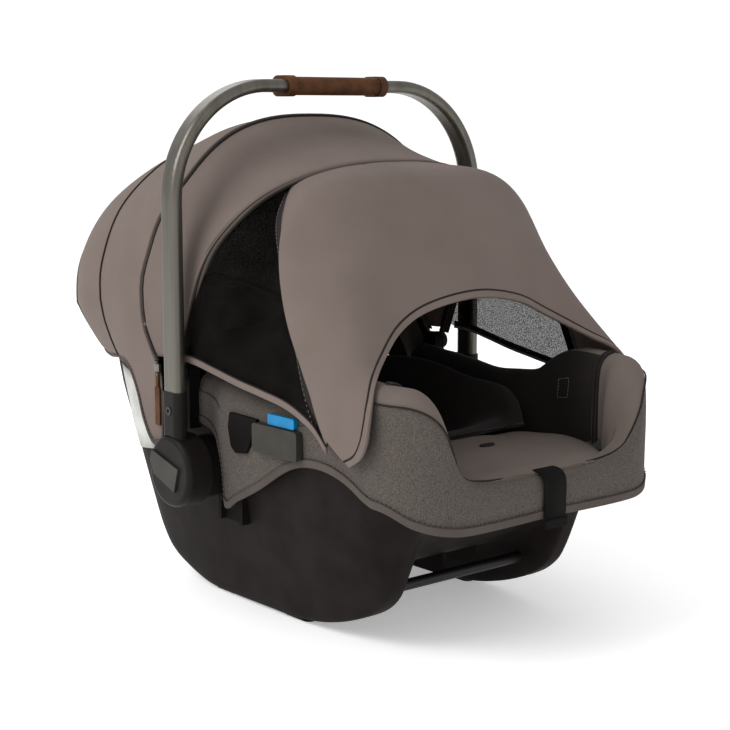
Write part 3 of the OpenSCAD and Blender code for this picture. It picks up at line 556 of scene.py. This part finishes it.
path = cover_path()
cover_grid = np.array([cover_section(p) for p in path])
cover = add_loft("seat_cover_cloth", cover_grid, "heather_fabric", levels=1)
for name in ("pad_fabric", "insert_fabric"):
    cover.data.materials.append(materials[name])
section_points = cover_grid.shape[1]
for polygon in cover.data.polygons:
    if polygon.index < (len(path) - 1) * section_points:
        row, place = divmod(polygon.index, section_points)
        y = path[row][1]
        if y < LINING_START:
            polygon.material_index = 0 if place < SEAM else 2 if place >= PANEL and y > LINING_END else 1
        else:
            polygon.material_index = 2 if place >= INNER else 0
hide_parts("seat_cover")

# Binding and stitches along the skirt's hem, and the seam on top of the bolsters
outward = np.stack([-path[:, 2], -path[:, 3], np.zeros(len(path))], 1)
HEM_POINTS = 300
hem_line = cover_grid[:, 0] + outward
add_band("skirt_binding", spaced(hem_line + (0, 0, -1.5), HEM_POINTS),
         spaced(hem_line + outward * 0.6 + (0, 0, 6.5), HEM_POINTS), "binding_fabric", thick=2.0)
add_stitches("skirt_stitches", smooth_path(hem_line + outward * 1.6 + (0, 0, 8.2), 4.0), (0, 0, 1),
             "thread_dark", length=3.2, gap=2.0, width=1.0)
bolsters = path[:, 1] < LINING_START
top_seam = cover_grid[bolsters, SEAM] + outward[bolsters] * 0.4 + (0, 0, 0.3)
add_tube("cover_top_seam", smooth_path(top_seam, 4.0), 0.9, "thread_dark")

# Double piping down each bolster's inner face, where the side panel meets the smooth lining, and a blank tag
for side, rows in (("left", range(len(path))), ("right", range(len(path) - 1, 0, -1))):
    row = next(r for r in rows if path[r, 1] < LINING_END)
    for i, shift in enumerate((0.0, 4.5)):
        down = smooth_path(cover_grid[row, INNER:INNER + 6] + (0, shift, 0.8), 4.0)
        add_tube(f"lining_piping_{side}_{i + 1}", down, 1.7, "insert_fabric", up=(0.0, 1.0, 0.0))
    flip = np.sign(path[row, 0])
    tag_x = flip * (cover_half_w - 45.5)
    corners = [np.array((tag_x, y, z)) for y, z in ((-230, 252), (-245, 255), (-243, 233), (-228, 231))]
    edge = [mix(a, b, t) for a, b in zip(corners, corners[1:] + corners[:1]) for t in np.linspace(0, 1, 12)]
    add_stitches(f"blank_tag_{side}", edge, (-flip, 0, 0), "thread_light", length=3.0, gap=0.5, width=0.6)

# ---- seat pad, insert, head support --------------------------------------------------------------

# y, bottom, top, half width
pad_rows = [(-341, 183, 188, 78), (-330, 178, 192, 100), (-304, 168, 195, 118), (-285, 158, 197, 134),
            (-250, 140, 200, 146), (-205, 112, 198, 146), (-160, 94, 182, 136), (-110, 84, 157, 122),
            (-60, 80, 135, 116), (-10, 80, 123, 108), (25, 82, 117, 96), (40, 88, 108, 76)]


PAD_SQUARENESS = 0.62
CHANNEL_X, CHANNEL_WIDTH, CHANNEL_DEPTH = 58, 3.0, 2.2


def pad_section(y):
    """Rounded oblong section with a sewn channel along each side of its top and a few soft folds."""
    bottom, top, half = along(y, pad_rows)
    turn = np.linspace(0, 2 * math.pi, 56, endpoint=False)
    c, s = np.cos(turn), np.sin(turn)
    x = half * np.sign(c) * np.abs(c) ** PAD_SQUARENESS
    z = (top + bottom) / 2 + (top - bottom) / 2 * np.sign(s) * np.abs(s) ** PAD_SQUARENESS
    fold = 0.9 * np.sin(x / 17 + y / 23) * np.sin(y / 31 - x / 41) + 0.5 * np.sin(x / 8.5 - y / 13)
    channel = -CHANNEL_DEPTH * np.exp(-((abs(x) - CHANNEL_X) / CHANNEL_WIDTH) ** 2)
    return np.stack([x, np.full_like(x, y), z + (s > 0.2) * (fold + channel)], 1)


pad_sections = [pad_section(y) for y in np.linspace(pad_rows[0][0], pad_rows[-1][0], 78)]
pad = add_loft("seat_pad_cushion", pad_sections, "pad_fabric", levels=1)
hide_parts("seat_pad")

# Stitched buttonhole over the strap adjuster
turn = np.linspace(0, 2 * math.pi, 28)
hole = np.stack([9 * np.cos(turn), -256 + 3 * np.sin(turn), np.full_like(turn, 200.6)], 1)
add_tube("adjuster_buttonhole", hole, 1.3, "thread_dark", up=(0.0, 0.0, 1.0))

# Quilted front of the insert: lies on the pad and stands up along the bolsters
apron_top = [(-212, 203), (-205, 208), (-190, 226), (-165, 240), (-115, 244), (-55, 256), (0, 258), (60, 250)]


def apron_section(y):
    base, half = along(y, pad_rows)[1] + 1.5, along(y, [(-212, 96), (-180, 116), (-60, 116), (60, 104)])
    top = max(along(y, apron_top), base + 3)
    quilt = mix(9, 2, float(np.clip((y + 150) / 45, 0, 1))) * float(np.clip((y + 216) / 20, 0.1, 1))
    rise = top - base
    right = [(0, base), (half * 0.5, base), (half - 20, base + 1), (half - 4, base + 0.15 * rise),
             (half + 4, base + 0.5 * rise), (half + 3, top - 0.1 * rise), (half - 6, top),
             (half - 17, top - 0.08 * rise), (half - 22, base + 0.5 * rise),
             (half - 34, base + quilt + 0.14 * rise), (half - 52, base + quilt + 1),
             (half * 0.3, base + quilt), (0, base + quilt - 1.5)]
    return [(x, y, z) for x, z in right] + [(-x, y, z) for x, z in right[-2:0:-1]]


apron_sections = [apron_section(y) for y in np.linspace(-212, 58, 34)]
apron = add_loft("insert_apron", apron_sections, "insert_fabric", levels=1)

insert_side = [(52, 108), (120, 112), (206, 96)]
insert_top = [(52, 196), (95, 222), (150, 240), (206, 262)]


def insert_section(y):
    seat, side, top = seat_floor(y) + 19, along(y, insert_side), along(y, insert_top)
    half = [(0, seat), (side - 34, seat + 2), (side - 8, seat + 30), (side, mix(seat, top, 0.6)),
            (side - 2, top - 8), (side - 14, top), (side - 28, top - 8),
            (side - 32, mix(seat, top, 0.5)), (side - 44, seat + 34),
            (side - 62, seat + 22), (0, seat + 20)]
    return [(x, y, z) for x, z in half] + [(-x, y, z) for x, z in half[-2:0:-1]]


insert_sections = [insert_section(y) for y in np.linspace(insert_side[0][0], insert_side[-1][0], 16)]
insert = add_loft("newborn_insert", insert_sections, "insert_fabric", levels=2)
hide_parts("body_insert")


def head_section(y):
    seat, side = seat_floor(y) + 20, along(y, [(212, 94), (278, 74)])
    top = along(y, [(212, 282), (250, 306), (278, 322)])
    half = [(0, seat), (side - 20, seat + 4), (side, mix(seat, top, 0.5)), (side - 6, top),
            (side - 22, top - 4), (side - 34, seat + 26), (0, seat + 18)]
    return [(x, y, z) for x, z in half] + [(-x, y, z) for x, z in half[-2:0:-1]]


head = add_loft("head_pillow", [head_section(y) for y in np.linspace(212, 278, 8)], "insert_fabric", levels=2)
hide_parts("head_support")

# ---- harness -------------------------------------------------------------------------------------

# Webbing section: [share of the width, millimetres above the middle], with the selvedges raised
WEBBING_SECTION = [(-0.5, -0.8), (0.5, -0.8), (0.5, 0.9), (0.46, 1.1), (0.42, 0.8), (-0.42, 0.8),
                   (-0.46, 1.1),
                   (-0.5, 0.9)]


def add_strap(name, route, wide, x):
    """Webbing of 1.6 mm with thicker selvedges through [y, z] points."""
    path = smooth_path([(x, y, z) for y, z in route], 4.0)
    lift = np.cross((1, 0, 0), directions(path))
    rings = np.stack([path + np.array([wide * a, 0, 0]) + lift * b for a, b in WEBBING_SECTION], 1)
    return add_loft(name, rings, "webbing")


STRAP_X, STRAP_WIDE = 34.0, 38.0
pad_route = [(190, 236), (160, 198), (128, 167), (98, 147)]
shoulder_route = [(206, 246), (192, 232), (160, 190), (128, 158), (95, 136), (60, 130), (20, 136), (-6, 142)]
for side, x in (("left", -STRAP_X), ("right", STRAP_X)):
    strap = add_strap(f"shoulder_strap_{side}", shoulder_route, STRAP_WIDE, x)
    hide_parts("harness_straps")
    pads = smooth_path([(x, y, z) for y, z in pad_route], 6.0)
    lift = np.cross((1, 0, 0), directions(pads))
    lift *= np.sign(lift[:, 2:3])
    bulge = np.sin(np.linspace(0.25, math.pi - 0.25, len(pads)))[:, None] * 5 + 2
    turn = np.linspace(0, 2 * math.pi, 20, endpoint=False)
    rings = np.stack([pads + np.array([26 * np.sign(np.cos(a)) * abs(np.cos(a)) ** 0.6, 0, 0])
                      + lift * (bulge * np.sin(a) + 3) for a in turn], 1)
    sleeve = add_loft(f"shoulder_pad_{side}", rings, "insert_fabric", levels=1)
    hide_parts("shoulder_pads")

crotch = add_strap("crotch_webbing", [(-74, 138), (-67, 141.5), (-60, 145), (-52, 147)], 32, 0)
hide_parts("crotch_strap")

front_route = [(-268.5, 149), (-274, 152), (-285, 156.8), (-305, 164.2), (-312, 168.5), (-316, 177.5),
               (-323, 184), (-331, 188.8), (-343, 189), (-350.5, 185), (-353.2, 178), (-353.2, 156),
               (-353.2, 134)]
adjuster = add_strap("adjuster_webbing", front_route, 30, 0)
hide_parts("adjuster_strap")
add_box("adjuster_fold", (-15.4, -356.2, 133), (30.8, 4.4, 9), "webbing")

# ---- canopy --------------------------------------------------------------------------------------

bow_knots = [(262, 24), (330, -2), (362, -16), (395, -33), (426, -54), (452, -72), (470, -88), (485, -104)]
mid_knots = [(178, 46), (257, 47), (285, 66), (310, 80), (354, 84), (391, 73), (430, 62), (473, 41),
             (536, 40)]
bow_half_w, bow_top = 194.0, 485.0
BOW_SHOULDER, BOW_POWER = 340.0, 2.6
canopy_joint = next(j for j in frame["record"]["behaviour"]["joints"] if j["name"] == "canopy_pivot")
CANOPY_PIVOT = np.array(canopy_joint["pos_m"]) / MM
rear_half_w, rear_end, canopy_top = high("rear_canopy")
MID_SHOULDER, MID_POWER = 330.0, 2.5


def bow_arch(grow, foot, y_shift=0.0):
    """Arch over the front bow, grown outwards by grow."""
    rows = arch(bow_half_w + grow, foot, BOW_SHOULDER, bow_top + grow, BOW_POWER)
    return np.array([(x, along(z, bow_knots) + y_shift, z) for x, z in rows])


def mid_arch(inset, foot, y_shift=0.0):
    """Arch over the middle bow, drawn inwards by inset."""
    rows = arch(rear_half_w - inset, foot, MID_SHOULDER, canopy_top - inset, MID_POWER)
    return np.array([(x, along(z, mid_knots) + y_shift, z) for x, z in rows])


# Share of the way to the back, half width, top, hem, shoulder, half width at the hem;
# both half widths are shares of rear_half_w
rear_knots = [(0, 1, 536, 180, 330, 1), (0.063, 1, 534.5, 180, 330, 1), (0.127, 1, 532, 205, 330, 1),
              (0.163, 1, 529, 230, 330, 1), (0.222, 0.995, 524, 254, 330, 0.99),
              (0.32, 0.99, 515, 263, 328, 0.96), (0.42, 0.98, 504, 261, 328, 0.90),
              (0.55, 0.95, 484, 256, 322, 0.81), (0.68, 0.89, 458, 258, 316, 0.74),
              (0.8, 0.80, 426, 264, 310, 0.62), (0.9, 0.66, 389, 274, 306, 0.48),
              (0.96, 0.5, 360, 286, 308, 0.36), (1, 0.3, 336, 298, 312, 0.24)]
# Seams of the rear canopy, as shares of the way to the back, and how far the cloth sinks at them
REAR_SEAMS, SEAM_DEPTH = (0.0, 0.36, 0.72, 1.0), 3.0


def rear_row(share, puff=0.0):
    width, top, hem, shoulder, hem_width = along(share, rear_knots)
    width, hem_width, top = width * rear_half_w + puff, hem_width * rear_half_w + puff, top + puff
    row = []
    for x, z in arch(width, hem, shoulder, top, MID_POWER):
        rise = min(1.0, max(0.0, (z - hem) / (shoulder - hem)))
        row.append((x * mix(hem_width / width, 1, rise**0.7), mix(along(z, mid_knots), rear_end, share), z))
    return row


def puff_between(share):
    """How far the cloth sinks below its fullest, which is between two seams and at the middle bow."""
    i = max(k for k in range(len(REAR_SEAMS) - 1) if REAR_SEAMS[k] <= share)
    t = (share - REAR_SEAMS[i]) / (REAR_SEAMS[i + 1] - REAR_SEAMS[i])
    full = math.sin(math.pi * t) ** 0.7 if i else math.sin(math.pi * (0.5 + t / 2))
    return -SEAM_DEPTH * (1 - full)


shares = np.concatenate([np.linspace(0, 0.3, 22), np.linspace(0.32, 1, 40)])
rear_grid = [rear_row(s, puff_between(s)) for s in shares]
cap = np.array(rear_grid[-1])
cap_rows = [cap * (1 - t, 1, 1) + (0, 3 * math.sin(math.pi * t / 2), 0) for t in (0.35, 0.7, 0.97)]
rear = add_cloth("rear_canopy_cloth", rear_grid + cap_rows, "canopy_fabric", thick=1.6)
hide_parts("rear_canopy")

# Front section, which sags a little between its two bows
PANEL_ROWS, PANEL_SAG = 16, 4.5
panel_back, panel_front = mid_arch(0.6, 276), bow_arch(2.0, 278)
panel = []
for i in range(PANEL_ROWS):
    t = i / (PANEL_ROWS - 1)
    p = mix(panel_back, panel_front, t)
    inward = p - CANOPY_PIVOT
    panel.append(p - inward / np.linalg.norm(inward, axis=1)[:, None] * PANEL_SAG * math.sin(math.pi * t))
front = add_cloth("front_canopy_cloth", panel, "canopy_fabric", body=None, thick=1.6)
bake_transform(front)
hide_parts("front_canopy")

# Piping and seams over the bows and the rear canopy; the two outer dark cords on the front bow are painted
# shade in the grooves beside its piping
add_tube("mid_seam_piping", mid_arch(-0.6, 272, -1.0), 1.7, "binding_fabric")
add_tube("mid_seam_cord", mid_arch(0.2, 272, -4.5), 1.3, "thread_dark")
for name, grow, shift, radius, slot_name in (
        ("bow_piping_rear", 1.8, 2.6, 2.1, "binding_fabric"),
        ("bow_piping_front", 1.8, -5.4, 2.1, "binding_fabric"),
        # the rear and front dark cords here are painted shade in the grooves beside the piping beads
        ("bow_seam", 0.6, -1.4, 1.8, "thread_dark"), ("bow_seam_rear", 0.8, 5.6, 1.3, "thread_dark"),
        ("bow_seam_front", 0.8, -8.4, 1.3, "thread_dark")):
    line = bow_arch(grow, 272, shift)
    line[:, 0] *= 1 - 0.014 * np.clip((400 - line[:, 2]) / 60, 0, 1)
    add_tube(name, line, radius, slot_name, body="canopy")
for i, share in enumerate(REAR_SEAMS[1:3]):
    add_tube(f"rear_seam_{i + 1}", np.array(rear_row(share, -2.6)), 1.3, "thread_dark")
rear_hem = np.array([rear_row(s, puff_between(s))[0] for s in shares])
for side, flip in (("left", 1), ("right", -1)):
    hem = smooth_path(rear_hem * (flip, 1, 1), 5.0)
    add_tube(f"rear_hem_{side}", hem, 2.0, "binding_fabric")
    add_stitches(f"rear_hem_stitches_{side}", hem + (-1.1 * flip, 0, 5.0), (-flip, 0, 0), "thread_dark",
                 width=0.9)

# Dark liner that closes the gap between the rear hem and the shell's rim
tuck_rows = rear_hem[rear_hem[:, 1] > 66]
rim_line = [(-along(y, rim_half_knots) + 2, y, along(y, rim_height_knots) + 1)
            for y in np.minimum(tuck_rows[:, 1], SHELL_BACK)]
for side, flip in (("left", 1), ("right", -1)):
    liner = np.stack([mix(tuck_rows + (4, 0, 10), np.array(rim_line), t) for t in np.linspace(0, 1, 6)])
    liner = add_cloth(f"rear_liner_{side}", liner * (flip, 1, 1), "insert_fabric", thick=1.0, offset=0.0)

# Drape: [|x|, y, z] from the middle outwards, down to a tip on each side
drape_top = [(0, -109, 486), (40, -108, 485), (80, -102, 480), (118, -90, 467), (148, -108, 437),
             (168, -134, 411), (178, -160, 367), (186, -184, 320), (190, -207, 264), (190, -229, 222)]
drape_shoulder = [(0, -168, 470), (62, -162, 472), (108, -154, 468), (142, -146, 452), (166, -142, 422),
                  (180, -146, 388), (189, -166, 340), (193, -196, 292), (195, -224, 250), (193, -236, 226)]
drape_fall = [(0, -206, 410), (64, -200, 414), (110, -196, 410), (146, -190, 392), (170, -190, 362),
              (183, -196, 336), (191, -212, 304), (195, -232, 268), (196, -248, 236), (193, -248, 218)]
drape_edge = [(0, -240, 353), (62, -236, 344), (104, -238, 326), (146, -260, 302), (170, -278, 287),
              (183, -288, 268), (189, -291, 250), (191, -289, 232), (190, -279, 216), (188, -261, 206)]


def both_sides(half):
    half = np.array(half, float)
    return np.concatenate([mirrored(half[:0:-1]), half])


drape_rows = [both_sides(r) for r in (drape_top, drape_shoulder, drape_fall, drape_edge)]
drape_grid = smooth_grid(drape_rows, 40, 96)
drape = add_cloth("drape_cloth", drape_grid, "canopy_fabric", body="canopy", thick=1.8)
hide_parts("drape")

# Binding along the drape's lower edge
edge_out = drape_grid[-1] - drape_grid[-6]
edge_out /= np.linalg.norm(edge_out, axis=1)[:, None]
add_band("drape_binding", spaced(drape_grid[-1] - edge_out * 6.0), spaced(drape_grid[-1] + edge_out),
         "canopy_fabric", body="canopy", thick=4.0)
add_tube("drape_binding_seam", spaced(drape_grid[-1] - edge_out * 6.6), 2.3, "thread_dark", body="canopy")

# Seams across the drape's two tips
for side, column in (("left", 7), ("right", -8)):
    seam = drape_grid[2:-2, column] + (0.9 * np.sign(drape_grid[0, column, 0]), 0, 0)
    add_tube(f"drape_tip_seam_{side}", spaced(seam, 24), 0.8, "thread_dark", body="canopy")

# Side windows: the upper edge runs up the bow and then down the drape's side edge
window_zs = [284, 312, 340, 368, 396, 424, 448]
EDGE_POINTS = 60


def bow_x(z):
    """Half width of the front bow at a height."""
    rise = max(z - BOW_SHOULDER, 0) / (bow_top - BOW_SHOULDER)
    return bow_half_w * (1 - rise**BOW_POWER) ** (1 / BOW_POWER)


window_upper = [(bow_x(z) + 1.6, along(z, bow_knots) - 4, z) for z in window_zs] + drape_top[3:]
hem_x = [(-10, 199), (20, 200), (94, 197), (176, 194), (231, 191)]
hem_z = [(-10, 281), (20, 279), (58, 272), (94, 265), (134, 259), (176, 251), (214, 233), (231, 216)]
window_hem = [(along(-y, hem_x), y, along(-y, hem_z)) for y in np.linspace(8, -231, len(window_upper))]
for side, flip in (("left", -1), ("right", 1)):
    upper = spaced(window_upper, EDGE_POINTS) * (flip, 1, 1)
    hem = spaced(window_hem, EDGE_POINTS) * (flip, 1, 1)
    shrink = np.array([flip, 0, 0])
    grid = np.stack([mix(upper - shrink * 1.2, hem, t) for t in np.linspace(0, 1, 18)])
    window = add_cloth(f"side_window_mesh_{side}", grid, "mesh_fabric", body="canopy", thick=0.8)
    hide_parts(f"side_window_{side}")
    add_band(f"window_hem_{side}", hem + shrink * 0.8 + (0, 0, -3.2), hem + shrink * 1.0 + (0, 0, 4.0),
             "canopy_fabric", body="canopy", thick=2.2)
    add_tube(f"window_hem_seam_{side}", hem + shrink * 1.6 + (0, 0, 4.6), 0.9, "thread_dark", body="canopy")
    drape_side = spaced(np.array(drape_top[3:]) * (flip, 1, 1), EDGE_POINTS)
    behind = drape_side + (0, 11, -2)
    add_band(f"window_edge_{side}", drape_side + shrink * 0.3 + (0, 1.0, 0), behind + shrink * 0.6,
             "insert_fabric", body="canopy", thick=1.6)
    add_stitches(f"window_stitches_{side}", (drape_side + (0, 9.0, -1.6) + shrink * 2.2)[2:], shrink,
                 "thread_light", body="canopy", length=2.6, gap=3.0, width=0.8)
    add_tube(f"drape_side_piping_{side}", drape_side + shrink * 0.6, 1.6, "binding_fabric", body="canopy")

# ---- small trim ----------------------------------------------------------------------------------

# Blank label on the shell behind the handle: [y, z] corners
label = np.array([(204, 246), (150, 238), (118, 158), (176, 150)], float)
label_steps = np.linspace(0, 1, 8)
label_grid = []
for t in label_steps:
    near, far = mix(label[0], label[3], t), mix(label[1], label[2], t)
    label_grid.append([(-shell_side(y, z) - 0.9, y, z) for y, z in (mix(near, far, u) for u in label_steps)])
add_cloth("blank_label", label_grid, "label_film", thick=0.5, offset=0.0)

# Stitched collars on the grip
grip_low, grip_high = low("handle_grip"), high("handle_grip")
grip_mid = (grip_low + grip_high) / 2
COLLAR_IN, COLLAR_HALF_DEEP, COLLAR_HALF_HIGH, COLLAR_SQUARENESS = 12.5, 17.4, 10.4, 0.7
turn = np.linspace(0, 2 * math.pi, 60)
deep = COLLAR_HALF_DEEP * np.sign(np.cos(turn)) * np.abs(np.cos(turn)) ** COLLAR_SQUARENESS
tall = COLLAR_HALF_HIGH * np.sign(np.sin(turn)) * np.abs(np.sin(turn)) ** COLLAR_SQUARENESS
for i, x in enumerate((grip_low[0] + COLLAR_IN, grip_high[0] - COLLAR_IN)):
    ring = np.stack([np.full_like(turn, x), grip_mid[1] + deep, grip_mid[2] + tall], 1)
    add_stitches(f"collar_stitches_{i + 1}", ring, (0, 0, 1), "thread_tan", body="handle", length=3.4,
                 gap=2.0, width=0.9)

# Coil springs behind the handle buttons
spring_low, spring_high = low("button_springs"), high("button_springs")
spring_mid = (spring_low + spring_high) / 2
SPRING_LENGTH, SPRING_TURNS, SPRING_RADIUS, WIRE = 7.1, 4, 4.3, 0.55
base = spring_high[0] - SPRING_LENGTH
angle = np.linspace(0, 2 * math.pi * SPRING_TURNS, 24 * SPRING_TURNS)
for side, flip in (("left", -1), ("right", 1)):
    coil = np.stack([flip * (base + WIRE + (SPRING_LENGTH - 2 * WIRE) * angle / angle[-1]),
                     spring_mid[1] + SPRING_RADIUS * np.cos(angle),
                     spring_mid[2] + SPRING_RADIUS * np.sin(angle)], 1)
    spring = add_tube(f"button_spring_{side}", coil, WIRE, "small_metal", body="handle", sides=6,
                      up=(1.0, 0.0, 0.0))
    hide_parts("button_springs")
    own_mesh(spring)

# ---- stage, light, camera ------------------------------------------------------------------------

FLOOR_HALF, FLOOR_GLOW, SKY_LIGHT, BACKDROP_LIGHT = 30000, 0.34, 0.74, 1.1
WHITE = (1.0, 1.0, 1.0, 1.0)
plain = Finish("studio_floor", 0.9)
plain.tint((0.94, 0.94, 0.94), (0.96, 0.96, 0.96), plain.noise(2.0))
floor_corners = [(FLOOR_HALF * x, FLOOR_HALF * y, 0) for x, y in ((-1, -1), (1, -1), (1, 1), (-1, 1))]
floor = add_mesh("studio_floor", floor_corners, [(0, 1, 2, 3)], "studio_floor", body=None)
plain.shader.inputs["Emission Color"].default_value = WHITE
plain.shader.inputs["Emission Strength"].default_value = FLOOR_GLOW

world = bpy.data.worlds.new("studio")
bpy.context.scene.world = world
world.use_nodes = True
# The sky lights the model with SKY_LIGHT, and the camera sees it as a plain white backdrop
sky_nodes = world.node_tree.nodes
sky, backdrop = sky_nodes["Background"], sky_nodes.new("ShaderNodeBackground")
for background, strength in ((sky, SKY_LIGHT), (backdrop, BACKDROP_LIGHT)):
    background.inputs[0].default_value = WHITE
    background.inputs[1].default_value = strength
seen, either = sky_nodes.new("ShaderNodeLightPath"), sky_nodes.new("ShaderNodeMixShader")
for source, target in ((seen.outputs["Is Camera Ray"], either.inputs[0]), (sky.outputs[0], either.inputs[1]),
                       (backdrop.outputs[0], either.inputs[2]),
                       (either.outputs[0], sky_nodes["World Output"].inputs[0])):
    world.node_tree.links.new(source, target)


def add_light(name, place, target, size, power):
    """Square area light: place, target and size in metres, power in watts."""
    data = bpy.data.lights.new(name, "AREA")
    data.shape, data.size, data.energy = "SQUARE", size, power
    light = bpy.data.objects.new(name, data)
    bpy.context.scene.collection.objects.link(light)
    light.location = place
    aim = np.array(target) - place
    light.rotation_euler = Vector(aim).to_track_quat("-Z", "Y").to_euler()


add_light("key", (-2.2, 0.5, 2.0), (0, 0, 0.25), 1.6, 42)
add_light("fill", (-0.4, -2.4, 1.6), (0, 0, 0.3), 2.0, 5)
add_light("back", (0.5, 2.2, 2.2), (0, 0, 0.3), 1.6, 12)

# Camera fitted to the photo: its place in metres, and its right, up and forward directions
camera_data = bpy.data.cameras.new("camera")
camera_data.lens, camera_data.sensor_width = 79.06, 36.0
camera = bpy.data.objects.new("camera", camera_data)
bpy.context.scene.collection.objects.link(camera)
camera.location = (-1.13769, -1.41879, 0.54324)
right, up, ahead = (0.7668, -0.6418, 0.0), (0.1013, 0.1210, 0.9874), (0.6338, 0.7572, -0.1578)
camera.rotation_euler = Matrix([(right[k], up[k], -ahead[k]) for k in range(3)]).to_euler()
bpy.context.scene.camera = camera
bpy.context.scene.view_settings.view_transform = "Standard"

# The drape, its windows and their trim each get a mesh of their own
FOLDING_TRIM = ("drape_", "side_window_mesh", "window_")
for piece in list(bpy.data.objects):
    if piece.name.startswith(FOLDING_TRIM):
        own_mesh(piece)
